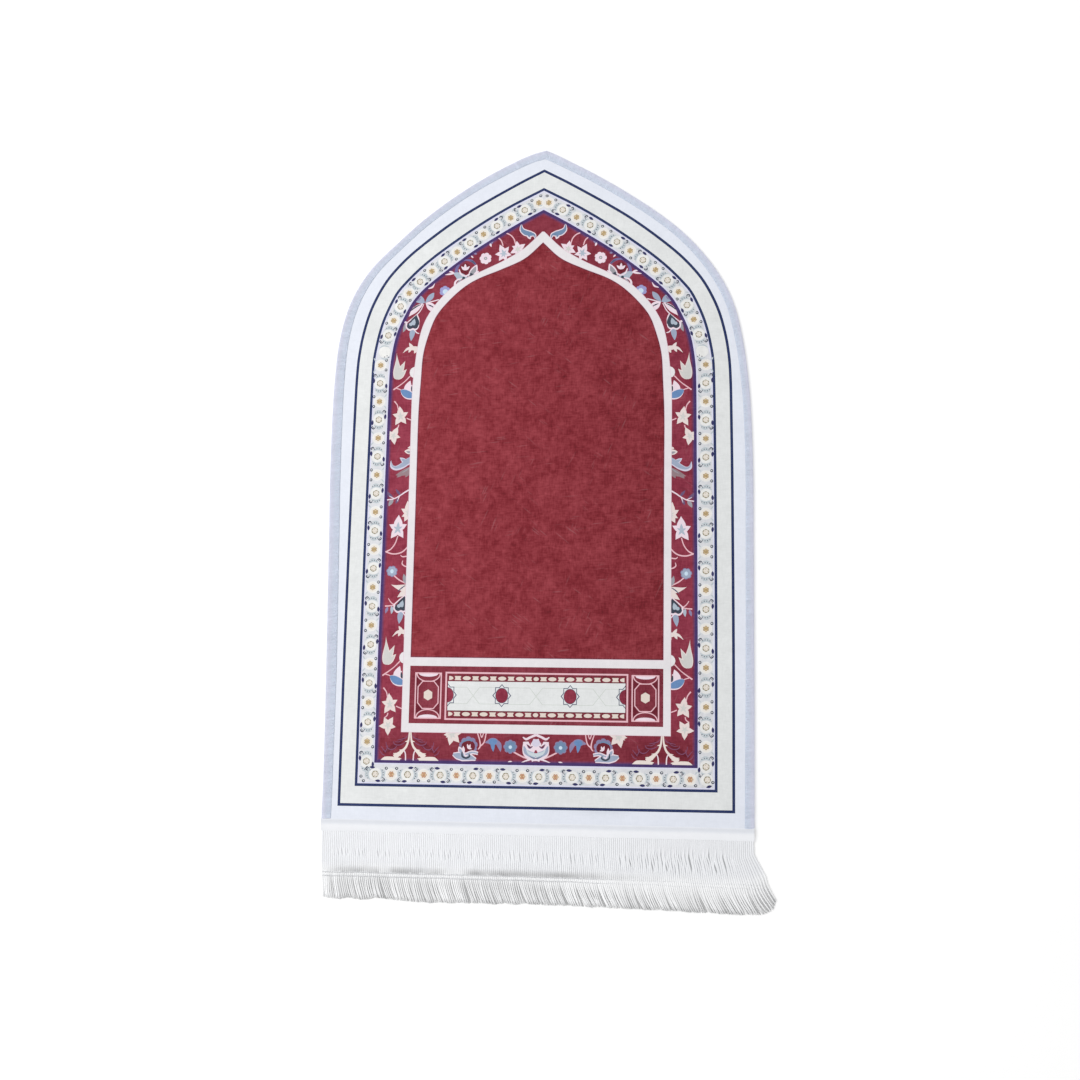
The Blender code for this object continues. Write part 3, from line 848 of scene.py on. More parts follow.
def paintFootBorder(chart):
    # Branches that curve out from the frame's corner, mirrored about their own middle
    chart.moved = (0, 0)
    chart.nudge = footNudges["branches"]
    axis = footBranchesAt
    # across from the axis and height, then widths
    strokes = (
        ("borderDark", ((9, -413), (24, -426), (42, -436)), (4.0, 8.6, 5.0)),
        ("mauve", ((3.6, -408), (6.4, -412.8), (13, -415.2), (20.4, -416.6)), (0.8, 1.5, 1.4, 0.7)),
        ("mauve", ((7.4, -419.8), (13.4, -423.4), (19.6, -424.4), (25, -422.4), (26.2, -418.6)),
         (0.8, 1.4, 1.5, 1.3, 0.7)),
        ("mauve", ((11, -416.4), (17.6, -419.4), (24, -419)), (0.7, 1.2, 0.7)),
        ("mauve", ((20.6, -426), (24.6, -430), (30.6, -431.4), (36.4, -427), (38, -419.6)),
         (0.8, 1.4, 1.5, 1.3, 0.7)),
        ("mauve", ((35, -424.4), (36.4, -431), (39.6, -435.4)), (0.7, 1.4, 0.8)),
        ("mauve", ((37.6, -436), (41.4, -431.6), (45.6, -426.4)), (0.8, 1.4, 0.7)),
        ("mauve", ((39, -440.6), (44, -438), (47.4, -432.6)), (0.8, 1.4, 0.7)),
        ("sand", ((1.0, -402), (2.2, -416), (5.4, -426), (9.6, -431.4), (15.6, -437), (24, -443)),
         (2.0, 2.8, 3.2, 3.6, 6.2, 8.0)),
        ("sand", ((15, -446.6), (28, -446.4), (39, -446.6), (48, -450.2)), (5.0, 8.4, 8.0, 0.4)),
        ("sand", ((1.6, -418), (7.8, -419)), (4.0, 0.4)),
        ("sand", ((8, -432.4), (16.8, -432)), (4.6, 0.4)),
        ("sand", ((14, -438.6), (26, -437.4)), (6.0, 0.6)),
        ("sand", ((20, -446), (12.6, -445.2)), (6.0, 0.5)),
        ("pinkWhite", ((9.4, -431), (6.6, -438), (6.0, -450)), (1.2, 1.9, 2.0)),
    )
    for ink, points, widths in strokes:
        for way in (-1, 1):
            chart.draw(ink, ribbon([(axis + way * x, y) for x, y in points], widths))
    chart.nudge = footNudges["lily"]
    chart.lily("petal", "petalCore", -129, -406.6, ((-101, 18), (-48, 18), (6, 15), (186, 13), (-150, 11)),
        0.58)
    chart.nudge = footNudges["rest"]
    # palmette on a scroll foot
    chart.draw("lilac", daisy(-102.6, -424.6, 14.6, 9, 0.13, 0.2))
    chart.draw("borderDark", disk(-102.8, -425.6, 10.8, 9.8, 18))
    chart.stems("blue", (((-114, -420.4), (-108, -416.6), (-101.6, -415.4), (-97, -417.4)),
        (1.6, 2.8, 2.6, 1.6)))
    chart.leaves("pinkWhite", ((-102, -429), (-104.6, -421.6), 3.2), ((-102, -429), (-99.4, -422), 3.2),
        ((-104.6, -427), (-97, -429.4), 3.6))
    bowl = ((-126.6, -437.6), (-120, -439.6), (-111, -441.2), (-100, -442.4), (-90.4, -445.4))
    arm = ((-106, -438), (-97, -434.6), (-87.4, -436))
    chart.stems("pinkWhite", (bowl, (5.0, 12.0, 14.2, 11.4, 4.6)), (arm, (6.0, 6.0, 5.0)))
    chart.leaves("pinkWhite", ((-113, -436), (-117.6, -425.6), 7.6), ((-110, -436), (-110.6, -424.6), 4.6))
    chart.stems("cloud", (bowl, (2.0, 8.4, 10.6, 7.8, 1.6)), (arm, (2.6, 2.6, 1.8)))
    chart.leaves("cloud", ((-113, -436), (-116.6, -428.4), 4.6))
    chart.stems("heartDark",
        (((-112.2, -433.6), (-111.8, -440.4), (-105.8, -443.4), (-100.4, -440.6), (-101.4, -437)),
        (1.7, 3.0, 2.8, 2.8, 1.3)))
    chart.stems("pinkWhite", (((-109.4, -436), (-106.6, -440.4), (-103.4, -438.4)), (1.1, 2.8, 1.1)))
    # forked stems, a bell, a daisy
    chart.stems("pink", (((-89.4, -403), (-85, -416.4), (-84.2, -425.4), (-87.4, -430)),
        (1.6, 1.9, 2.1, 1.3)), (((-74.8, -403), (-78, -418.6), (-83.6, -424.8)), (1.6, 1.9, 1.9)),
        (((-85, -403), (-82, -411.4), (-78.6, -403)), (1.3, 1.6, 1.3)),
        (((-31.4, -433.6), (-17, -440.8), (-6, -444.2)), (2.3, 2.4, 2.3)))
    chart.draw("lilac", disk(-64.4, -417.6, 8.4, 5.6, 16))
    chart.leaves("lilac", ((-66, -417), (-77, -419.4), 5.4), ((-62, -414), (-52, -433.4), 7.4, 2.6, 0.9))
    chart.draw("brightBlue", disk(-64.2, -418, 6.6, 4.8, 14))
    chart.leaves("brightBlue", ((-65.6, -414), (-63.4, -433.4), 6.6, 0.0, 0.8))
    chart.draw("lilac", daisy(-37, -425.4, 10.8, 8, 0.17))
    chart.draw("blue", daisy(-37, -425.4, 9.0, 8, 0.14))
    chart.draw("iceBlue", disk(-37, -426, 2.8, count=10))
    chart.leaves("pinkWhite", ((-40.4, -448.8), (-33.4, -447.6), 2.4))
    chart.nudge = 0.0


def paintVase(chart):
    # The cup-shaped flower in the middle of the foot border
    def pair(ink, points):
        chart.lay(ink, shifted(points, vaseAt, 0))
        chart.lay(ink, shifted([(-x, y) for x, y in points][::-1], vaseAt, 0))

    pair("pinkWhite", leaf((-2, -447), (19.4, -417.4), 15.0, -4.2, 1.0, 1.0))
    pair("pinkWhite", ribbon(((20.0, -419.4), (12, -419.8), (5, -424)), (3.0, 4.6, 6.0)))
    pair("pinkWhite", ribbon(((0, -446), (4.6, -432), (0, -414)), (12.0, 13.0, 8.0)))
    pair("borderRed", leaf((11.4, -408), (8.4, -423.0), 4.6, 0.0, 0.8))
    pair("cloudRim", disk(0, -419.4, 6.4, 6.0))
    pair("cloud", ribbon(((18.6, -424.4), (14.6, -433.4), (0, -440.2)), (1.6, 7.6, 10.2)))
    pair("bowl", ribbon(((14.8, -429.4), (10.4, -435.0), (0, -438.4)), (1.0, 4.4, 6.4)))
    pair("pinkWhite", ribbon(((15.4, -426.8), (8.4, -430.4), (0, -430.4)), (1.4, 3.6, 5.0)))
    pair("slate", ribbon(((9.6, -439.8), (5.4, -442.0), (0, -443)), (0.5, 1.2, 1.4)))
    pair("plum", ribbon(((14.4, -421.4), (9.8, -426.6), (5.0, -424.4)), (1.0, 3.6, 1.0)))
    pair("borderDark", ribbon(((13.4, -422.4), (9.8, -425.8), (6.2, -424.6)), (0.6, 1.8, 0.6)))
    chart.lay("borderRed", shifted(daisy(0, -433.0, 2.8, 3, 0.4, math.pi / 2), vaseAt, 0))
    pair("pinkWhite", ribbon(((20.6, -410.4), (15.4, -413.6), (8.4, -410.4), (0, -407)),
        (1.5, 3.5, 3.5, 3.7)))
    pair("pinkWhite", ribbon(((5, -444.4), (12, -445.6), (22.8, -449.6)), (1.4, 2.8, 0.9)))


# The panel below the field; across is measured from its own middle.
panel = {
    "middle": 1.4,
    "top": -302.4,
    "foot": -391.8,
    "cellMiddle": 169.8,
    "cellHalf": 21.3,
    "cellTop": -312.6,
    "cellFoot": -384.5,
    "frameHalf": 143.1,
    "frameTop": -311.2,
    "frameFoot": -385.9,
    "stripHalf": 138.8,
    "beadRows": (-320.8, -376.5),
    "groundTop": -325.8,
    "groundFoot": -371.1,
    "starAt": 53.4,
    "crossAt": 98.5,
    "starY": -347.1,
    "latticeHalf": 12.8,
    "latticeWide": 0.9,
    "crossHalf": 10,
    "crossMiddle": 0.4,
    "railHalf": 0.4,
    "cellRim": 2,
    "cellArcIn": 1.8,
    "cellArcs": (("pink", 19.3, 13.2), ("panelRed", 17.6, 11.6), ("pinkWhite", 15.4, 4.8)),
    "cellStar": (17.0, 9.2, 22.0, 12.8),
    "cellStarLine": 1.6,
    "hexagon": (6.7, 4.6, 8.5),
    "frameWide": 2.6,
    "stripRows": (("borderDark", 4.9), ("panelRed", 4.2)),
    "middleBead": 4.2,
    "bead": 6.4,
    "beadsAt": (25.3, 53.3, 81.3, 109.3),
    "beadHigh": 3.2,
    "beadRim": 0.9,
    "beadRimHigh": 4.1,
    "blocksAt": (11.6, 39.3, 67.3, 95.3, 123.3),
    "block": 5.3,
    "blockRim": 0.7,
    "groundRim": (0.8, 0.7),
    "blockNotch": 1.4,
    "endAt": 137.2,
    "endWide": 6.8,
    "starSquare": (10.6, 12.8),
    "starTips": (14.9, 17.9),
    "starLine": 1.2,
    "starPast": 0.4,
    "starDisks": (("slate", 10.1, 11.9), ("borderRed", 9.5, 11.2)),
}


def box(left, right, low, high):
    steps = max(1, round((right - left) / 12))
    base = [(left + (right - left) * k / steps, low) for k in range(steps + 1)]
    return base + [(x, high) for x, y in base[::-1]]


def paintPanel(chart):
    p = panel

    def put(ink, points, x=None):
        chart.lay(ink, onCloth(shifted(points, p["middle"] if x is None else x, 0)))

    fieldHalf = archLines["frameIn"][0][0]
    put("panelRed", box(-fieldHalf, fieldHalf, p["foot"], p["top"]), 0)
    for side in (-1, 1):
        middle = side * p["cellMiddle"] - 0.3
        half, high, low, rim = p["cellHalf"], p["cellTop"], p["cellFoot"], p["cellRim"]
        put("pink", box(middle - half, middle + half, low, high))
        put("borderDark", box(middle - half + rim, middle + half - rim, low + rim, high - rim))
        for edge, way in ((high - p["cellArcIn"], -1), (low + p["cellArcIn"], 1)):
            for ink, wide, deep in p["cellArcs"]:
                arc = [(middle + wide * math.cos(t), edge + way * deep * math.sin(t))
                    for t in np.linspace(0, math.pi, 19)]
                put(ink, arc if way > 0 else arc[::-1])
        farX, nearX, farY, nearY = p["cellStar"]
        for ink, thin in (("pink", 0.0), ("panelRed", p["cellStarLine"])):
            x0, x1, y0, y1 = farX - thin, nearX - 0.4 * thin, farY - thin, nearY - 0.4 * thin
            y = p["starY"] - 0.4
            put(ink, [(middle + x0, y - y1), (middle + x0, y + y1), (middle + x1, y + y0),
                (middle - x1, y + y0), (middle - x0, y + y1), (middle - x0, y - y1), (middle - x1, y - y0),
                (middle + x1, y - y0)])
        y = p["starY"] - 0.6
        wide, shoulder, tall = p["hexagon"]
        put("hexagon", [(middle + wide, y - shoulder), (middle + wide, y + shoulder), (middle, y + tall),
            (middle - wide, y + shoulder), (middle - wide, y - shoulder), (middle, y - tall)])
    half, line = p["frameHalf"], p["frameWide"]
    put("pink", box(-half, half, p["frameFoot"], p["frameTop"]))
    put("panelRed", box(-half + line, half - line, p["frameFoot"] + line, p["frameTop"] - line))
    strip = p["stripHalf"]
    for y in p["beadRows"]:
        for ink, deep in p["stripRows"]:
            put(ink, box(-strip, strip, y - deep, y + deep))
        beads = [(0.0, p["middleBead"])] + [(s * x, p["bead"]) for x in p["beadsAt"] for s in (-1, 1)]
        for x, half in beads:
            put("borderDark", disk(x, y, half + p["beadRim"], p["beadRimHigh"], 16))
            put("hexagon", disk(x, y, half, p["beadHigh"], 16))
        for x in [s * at for at in p["blocksAt"] for s in (-1, 1)]:
            for ink, grow in (("borderDark", p["blockRim"]), ("hexagon", 0.0)):
                a, b, notch = p["block"] + grow, p["beadHigh"] + grow, p["blockNotch"]
                put(ink, [(x - a, y - b), (x + a, y - b), (x + a - notch, y), (x + a, y + b), (x - a, y + b),
                    (x - a + notch, y)])
        for side in (-1, 1):
            end = [(side * (p["endAt"] - p["endWide"] * math.cos(t)), y + p["beadHigh"] * math.sin(t) * side)
                for t in np.linspace(-math.pi / 2, math.pi / 2, 9)]
            put("hexagon", end[::-1])
    wide, deep = p["groundRim"]
    put("borderDark", box(-strip - wide, strip + wide, p["groundFoot"] - deep, p["groundTop"] + deep))
    put("cream", box(-strip, strip, p["groundFoot"], p["groundTop"]))
    y, reach, cross, thin = p["starY"] - 0.6, p["latticeHalf"], p["crossHalf"], p["latticeWide"]
    crosses = (-p["crossAt"], p["crossMiddle"], p["crossAt"])
    for x in crosses:
        for way in (-1, 1):
            put("lattice", ribbon(((x - cross, y - way * reach), (x + cross, y + way * reach)), thin))
    starts, ends = (-strip, *(x + cross for x in crosses)), (*(x - cross for x in crosses), strip)
    for left, right in zip(starts, ends):
        for rail in (y - reach, y + reach):
            put("lattice", box(left, right, rail - p["railHalf"], rail + p["railHalf"]))
    y = p["starY"]

    def cut(points):
        return [(min(max(px, -strip), strip), py) for px, py in points]

    for x in (-strip - p["starPast"], -p["starAt"], p["starAt"], strip + p["starPast"]):
        for thin in (0.0, p["starLine"]):
            wide, tall = (size - thin for size in p["starSquare"])
            square = [(x + a * wide, y + b * tall) for a, b in ((-1, -1), (1, -1), (1, 1), (-1, 1))]
            wide, tall = (size - 1.5 * thin for size in p["starTips"])
            tips = [(x + a * wide, y + b * tall) for a, b in ((0, -1), (1, 0), (0, 1), (-1, 0))]
            for points in (square, tips):
                put("cream" if thin else "slate", cut(points))
            if thin:
                put("cream", cut(square))
        for ink, wide, tall in p["starDisks"]:
            put(ink, cut(disk(x, y, wide, tall, 24)))


def paintAll():
    chart = Chart()
    paintBands(chart)
    paintFlowerBand(chart)
    half = 0.5 * lineWide["purple"]
    red = archLoop("purple", -half)
    for ink, deep in blurSteps:
        ground = archLoop("purple", -half - deep)
        chart.lay(ink, ground)
    for height, share in footFade:
        chart.lay("borderRed%d" % height, [p for p in ground if p[1] < height])
    for height, share in tipFade:
        chart.lay("borderRed%d" % height, [p for p in ground if p[1] > height])
    paintFootBorder(chart)
    paintArch(chart)
    paintRepeat(chart, 0, 0)
    paintRepeat(chart, *repeatStep)
    paintSideMiddle(chart)
    paintHeartLeaf(chart, *heartStep, ((-206, -184.4), (-218, -194.4), (-227.2, -203.4)))
    paintVase(chart)
    chart.lay("purple", archLoop("purple", half), hole=red)
    chart.lay("frameRim", archLoop("frameOut"))
    chart.lay("frame", archLoop("frameOut", -frameRimWide))
    chart.lay("frameRim", archLoop("frameIn", frameRimWide))
    chart.lay("fieldShade", archLoop("frameIn"))
    chart.lay("fieldRed", archLoop("frameIn", -fieldShadeWide))
    paintPanel(chart)
    return chart.shapes


def holds(loop, spots):
    # Which spots lie inside a loop, also where the loop crosses itself
    a = np.array(loop)
    b = np.roll(a, -1, axis=0)
    x, y = spots[:, :1], spots[:, 1:]
    turn = (b[:, 0] - a[:, 0]) * (y - a[:, 1]) - (x - a[:, 0]) * (b[:, 1] - a[:, 1])
    up = (a[:, 1] <= y) & (b[:, 1] > y) & (turn > 0)
    down = (a[:, 1] > y) & (b[:, 1] <= y) & (turn < 0)
    return up.sum(axis=1) != down.sum(axis=1)


def dyeOf(shapes, spots):
    # The ink of the last shape over each spot
    names = ["margin"] + [ink for ink, points, hole in shapes]
    found = np.zeros(len(spots), int)
    for number, (ink, points, hole) in enumerate(shapes, 1):
        low, high = np.min(points, axis=0), np.max(points, axis=0)
        near = np.flatnonzero(((spots >= low) & (spots <= high)).all(axis=1))
        hit = holds(points, spots[near])
        if hole is not None:
            hit &= ~holds(hole, spots[near])
        found[near[hit]] = number
    table = np.array([(*screenColor(*inks[n][:3], light=lightLevel), inks[n][3]) for n in names])
    return table[found]


# The mat: printed velour on a thin woven back, as closed as the real one.
mat = {
    "stepShare": 1.02,
    "rimShare": 0.09,
    "rimLow": 1.0,
    "rimHigh": 2.6,
    "gridPitch": 13.0,
    "gridShake": 3.0,
    "gridX": (-340, 345),
    "gridY": (-545, 555),
    "keepOff": 6.0,
    "joinWithin": 0.01,
    "seed": 11,
    "ripple": 0.3,
    "rippleSize": 120.0,
    "rippleSeed": 3.7,
    "fadeOver": 25.0,
    "sharp": 40,
}

# Shares of the mat's map: the face, and beside it the strip of the back and the rim
mapShares = {"margin": 0.002, "face": 0.928, "backAt": 0.94, "back": 0.058, "high": 0.996}


def matRipple(spots, rim):
    # A soft waviness of the face that fades out at the rim
    size, seed = mat["rippleSize"], mat["rippleSeed"]
    waves = np.array([noise.noise(Vector((x / size, y / size, seed))) for x, y in spots])
    reach = np.min(np.hypot(*(spots[:, None, :] - np.array(rim)[None, ::3, :]).transpose(2, 0, 1)), axis=1)
    return mat["ripple"] * waves * np.clip(reach / mat["fadeOver"], 0, 1)


def buildMat(velour, backing):
    shapes = paintAll()
    cloth, faced = outline(clothFoot), outline(printFoot)
    rim = inset(faced, bandDepths(faced, mat["stepShare"]))
    verts, edges = [], []
    for loop in [rim] + [points for ink, points, hole in shapes]:
        first, count = len(verts), len(loop)
        verts += [Vector(p) for p in loop]
        edges += [(first + k, first + (k + 1) % count) for k in range(count)]
    rng = random.Random(mat["seed"])
    pitch, shake = mat["gridPitch"], mat["gridShake"]
    grid = [(x + rng.uniform(-shake, shake), y + rng.uniform(-shake, shake))
        for x in np.arange(*mat["gridX"], pitch) for y in np.arange(*mat["gridY"], pitch)]
    inner = inset(faced, bandDepths(faced, mat["stepShare"], mat["keepOff"]))
    verts += [Vector(p) for p, kept in zip(grid, holds(inner, np.array(grid))) if kept]
    laid = delaunay_2d_cdt(verts, edges, [], 0, mat["joinWithin"], False)
    spots = np.array([tuple(v) for v in laid[0]])
    corners = np.array([tuple(f) for f in laid[2]])
    middles = spots[corners].mean(axis=1)
    kept = holds(rim, middles)
    corners, middles = corners[kept], middles[kept]
    a, b, c = (spots[corners[:, k]] for k in range(3))
    turn = np.cross(b - a, c - a)
    corners[turn < 0] = corners[turn < 0][:, ::-1]
    dyes = dyeOf(shapes, middles)
    print("print laid out:", len(shapes), "shapes,", len(corners), "faces")

    heights = 1000 * matHigh + matRipple(spots, rim)
    places = [(x, y, z) for (x, y), z in zip(spots, heights)]
    edge = [int(np.argmin(np.hypot(*(spots - p).T))) for p in np.array(rim)]
    rings = [edge]
    outer = inset(cloth, bandDepths(cloth, mat["rimShare"]))
    padded = inset(cloth, bandDepths(cloth, mat["stepShare"]))
    for points, z in ((rim, mat["rimHigh"]), (outer, mat["rimHigh"]), (outer, mat["rimLow"]),
            (padded, mat["rimLow"]), (padded, 0.0)):
        rings.append(list(range(len(places), len(places) + len(points))))
        places += [(x, y, z) for x, y in points]
    sides = []
    for upper, lower in zip(rings, rings[1:]):
        for k in range(len(upper)):
            n = (k + 1) % len(upper)
            sides.append((upper[k], upper[n], lower[n], lower[k]))
    faceList = [tuple(int(i) for i in f) for f in corners]
    last = rings[-1]
    half = len(last) // 2
    under = [(last[-1 - k], last[-2 - k], last[k + 1], last[k]) for k in range(half - 1)]
    under.append((last[half + 1], last[half], last[half - 1]))
    allFaces = faceList + sides + under
    piece = addPiece("printed_mat", [(x * mm, y * mm, z * mm) for x, y, z in places], allFaces, velour)
    mesh = piece.data
    mesh.materials.append(backing)
    top = len(faceList)
    mesh.polygons.foreach_set("material_index", [0] * top + [1] * (len(allFaces) - top))
    dye = mesh.color_attributes.new("dye", "FLOAT_COLOR", "CORNER")
    plain = len(mesh.loops) - 3 * top
    dye.data.foreach_set("color", np.concatenate([np.repeat(dyes, 3, axis=0).ravel(), np.ones(4 * plain)]))
    bakeMap(mesh, top)
    mesh.polygons.foreach_set("use_smooth", [True] * top + [False] * (len(allFaces) - top))
    mesh.set_sharp_from_angle(angle=math.radians(mat["sharp"]))
    return piece


def bakeMap(mesh, top):
    # The face as seen from above fills most of the map
    layer = mesh.uv_layers.new(name="OFBake")
    index = np.empty(len(mesh.loops), int)
    mesh.loops.foreach_get("vertex_index", index)
    places = np.empty(3 * len(mesh.vertices))
    mesh.vertices.foreach_get("co", places)
    places = places.reshape(-1, 3)[index]
    u = (places[:, 0] - places[:, 0].min()) / np.ptp(places[:, 0])
    v = (places[:, 1] - places[:, 1].min()) / np.ptp(places[:, 1])
    front = np.arange(len(u)) < 3 * top
    margin = mapShares["margin"]
    u = np.where(front, margin + mapShares["face"] * u, mapShares["backAt"] + mapShares["back"] * u)
    layer.data.foreach_set("uv", np.column_stack([u, margin + mapShares["high"] * v]).ravel())


# How the threads' maps stand side by side: threads in a row, then shares of one thread's place
threadMap = {"columns": 480, "left": 0.15, "wide": 0.7, "foot": 0.02, "high": 0.96}


def addThreads(name, paths, wide, tones, finish, across=None, high=1.0, sides=3):
    # Many thin tubes in one mesh: paths is threads by stations by x, y, z, in millimetres
    paths = np.asarray(paths, float)
    count, stations = paths.shape[:2]
    along = np.gradient(paths, axis=1)
    along /= np.linalg.norm(along, axis=2, keepdims=True)
    if across is None:
        across = np.cross(along, (0.0, 0.0, 1.0))
    across = across / np.linalg.norm(across, axis=2, keepdims=True)
    lift = np.cross(across, along)
    wide = np.broadcast_to(wide, (count, stations))
    verts = []
    for side in range(sides):
        turn = math.tau * side / sides + math.pi / 2
        verts.append(paths + 0.5 * wide[..., None] * (math.cos(turn) * across + high * math.sin(turn) * lift))
    verts = np.stack(verts, axis=2).reshape(-1, 3) * mm
    faces, maps = [], []
    columns, foot = threadMap["columns"], threadMap["foot"]
    rows = math.ceil(count / columns)
    for thread in range(count):
        base = thread * stations * sides
        u0, v0 = (thread % columns + threadMap["left"]) / columns, (thread // columns) / rows
        for station in range(stations - 1):
            for side in range(sides):
                a = base + station * sides + side
                b = base + station * sides + (side + 1) % sides
                faces.append((a, b, b + sides, a + sides))
                us = [u0 + threadMap["wide"] * (side + s) / sides / columns for s in (0, 1)]
                vs = [v0 + (foot + threadMap["high"] * (station + s) / (stations - 1)) / rows for s in (0, 1)]
                maps += [us[0], vs[0], us[1], vs[0], us[1], vs[1], us[0], vs[1]]
        for station, order in ((0, -1), (stations - 1, 1)):
            faces.append(tuple(base + station * sides + side for side in range(sides))[::order])
            maps += [u0, v0 + foot / rows] * sides
    piece = addPiece(name, verts, faces, finish)
    tones = np.asarray(tones, float)
    tones = np.broadcast_to(tones if tones.ndim == 2 else tones[:, None], (count, stations))
    along = np.broadcast_to(np.linspace(0.0, 1.0, stations), (count, stations))
    markYarn(piece, tones, along, sides)
    layer = piece.data.uv_layers.new(name="OFBake")
    layer.data.foreach_set("uv", maps)
    piece.data.shade_smooth()
    print(name, "has", sum(len(p.vertices) - 2 for p in piece.data.polygons), "triangles")
    return piece


# The overlocked edge: close stitches wrapped round the rim, held down by a line of sunken needle stitches.
# Depths in the two sections run inwards from the edge, for a band as wide as edgeWide.
edgeBand = {
    "pitch": 1.45,
    "thick": 1.66,
    "flat": 0.5,
    "slant": 1.4,
    "needleDepths": (14.4, 13.4, 12.2, 11.2, 10.4),
    "needleHeights": (3.72, 4.0, 4.05, 4.0, 3.72),
    "needlePitch": 6.6,
    "needleThick": 1.5,
    "needleFlat": 0.4,
    "needleShake": (0.7, 0.8),
    "needleToneAndShade": -1.7,
    "needleTones": (0.3, 1.2),
    "thickRange": (0.9, 1.1),
    "heightShake": 0.05,
    "lowest": 0.5,
    "toneShake": 0.45,
    "toneDrift": 1.1,
    "toneUneven": 0.9,
    "bandSteps": 260,
    "bandSharp": 35,
    "seed": 5,
    "needleSeed": 7,
}
bandSection = ((15.5, 3.1), (12.0, 3.3), (6.0, 3.4), (2.4, 3.3), (0.9, 2.9), (0.35, 1.8), (0.8, 0.8),
    (2.2, 0.45), (6.0, 0.35), (15.5, 0.35), (15.5, 0.7), (1.0, 0.7), (1.0, 2.9), (15.5, 2.9))
stitchPath = ((15.9, 3.45), (14.4, 3.62), (10.5, 3.7), (6.0, 3.72), (3.0, 3.62), (1.2, 3.3), (0.3, 2.6),
    (0.1, 1.8), (0.35, 1.05), (1.3, 0.5), (3.6, 0.36), (9.0, 0.34), (15.2, 0.36))


def bandLine(path, depth):
    return inset(path, bandDepths(path, depth / edgeWide))


def buildEdgeBand(finish):
    path = outline(printFoot, edgeBand["bandSteps"])
    rows = [[(x, y, z) for x, y in bandLine(path, depth)] for depth, z in bandSection]
    return addSweep("overlock_band", rows, finish, edgeBand["bandSharp"])


def pathAt(pitch):
    # The outline with points one pitch apart
    line = outline(printFoot)
    return outline(printFoot, round(0.5 * sum(map(math.dist, line, line[1:])) / pitch))


def buildEdgeStitches(finish):
    rng = random.Random(edgeBand["seed"])
    path = pathAt(edgeBand["pitch"])
    lines = []
    for depth, z in stitchPath:
        line = np.array(bandLine(path, depth))
        slid = line + (np.roll(line, -1, axis=0) - line) * edgeBand["slant"] * depth / edgeWide
        slid[-3:] = line[-3:]
        lines.append(np.column_stack([slid, np.full(len(line), z)]))
    paths = np.stack(lines, axis=1)
    count = len(paths)
    heading = np.gradient(paths[:, :, :2].mean(axis=1), axis=0)
    across = np.zeros((count, 1, 3))
    across[:, 0, :2] = heading
    # single stitches differ a little, and stretches of them lie tighter or looser
    shake, drift, uneven = edgeBand["toneShake"], edgeBand["toneDrift"], edgeBand["toneUneven"]
    tones = [rng.uniform(-shake, shake) + drift * noise.noise(Vector((k / 5, 1.3, 0))) for k in range(count)]
    patches = [[uneven * noise.noise(Vector((k / 3, s / 1.6, 4))) for s in range(len(stitchPath))]
        for k in range(count)]
    tones = np.array(tones)[:, None] + np.array(patches)
    shake = edgeBand["heightShake"]
    paths[:, :, 2] += np.array([rng.uniform(-shake, shake) for k in range(count)])[:, None]
    paths[:, :, 2] = np.maximum(paths[:, :, 2], edgeBand["lowest"])
    wide = np.array([edgeBand["thick"] * rng.uniform(*edgeBand["thickRange"]) for k in range(count)])[:, None]
    across = np.broadcast_to(across, paths.shape)
    return addThreads("overlock_stitches", paths, wide, tones, finish, across=-across, high=edgeBand["flat"])


def buildNeedleLine(finish):
    # Short threads across the band, sunk between its stitches; their darker tone is partly the thread's own
    # colour and partly painted shade where the stitches dip
    rng = random.Random(edgeBand["needleSeed"])
    path = pathAt(edgeBand["needlePitch"])
    lines = []
    for depth, z in zip(edgeBand["needleDepths"], edgeBand["needleHeights"]):
        line = np.array(bandLine(path, depth))[2:-2]
        lines.append(np.column_stack([line, np.full(len(line), z)]))
    paths = np.stack(lines, axis=1)
    sizes = edgeBand["needleShake"]
    shake = np.array([(*(rng.uniform(-size, size) for size in sizes), 0.0) for thread in paths])
    tones = [edgeBand["needleToneAndShade"] * rng.uniform(*edgeBand["needleTones"]) for thread in paths]
    return addThreads("overlock_needle_line", paths + shake[:, None, :], edgeBand["needleThick"], tones,
        finish, high=edgeBand["needleFlat"])


# The fringe: a tape sewn over the foot, close cords hanging from it, two chained rows, loose ends.
fringe = {
    "leftIn": 1.0,
    "rightIn": 2.8,
    "cords": 222,
    "thick": 3.15,
    "rootDepth": 14.5,
    "upper": 1.5,
    "lower": 0.85,
    "flat": 0.42,
    # painted shade on the lower layer and its loose ends, and painted shadow in the slits and above the
    # chained rows
    "lowerPaintedShade": -3.0,
    "looseLowerPaintedShade": -11.0,
    "slitOpen": 0.9,
    "slitPaintedShadow": -8.0,
    "slitSlant": 1.5,
    "foldPaintedShadow": -12.0,
    "endThin": 0.3,
    "rightTone": -1.9,
    "chainLong": 2.5,
    "chainWide": 1.5,
    "chainThick": 0.8,
    "rowGap": 5.6,
    "bunchSizes": (1, 2, 2, 3, 3, 4),
    "bunchLean": 2.6,
    "bunchTones": (-3.0, 1.6),
    # painted shadow on the last cord of each bunch
    "bunchEdgePaintedShadow": -2.2,
    "cutWave": 1.8,
    "cutShake": 0.6,
    "sides": 6,
    "rootShake": 0.05,
    "thickRange": (0.98, 1.02),
    "toneShake": 0.35,
    "lowest": 0.68,
    "looseFrom": 0.64,
    "loosePower": 1.2,
    "ownLean": 0.8,
    "wander": (0.1, 1.6),
    "wanderUp": 0.14,
    "seed": 23,
    "chainSeed": 31,
}
# The slits between the cords: how many cords at each end have none, from which share across on there may be
# two, and how long, how far moved and how open they are
slit = {"ends": (4, 8), "twoFrom": 0.7, "short": 8, "grow": 0.7, "shift": 2, "open": (0.35, 0.7)}
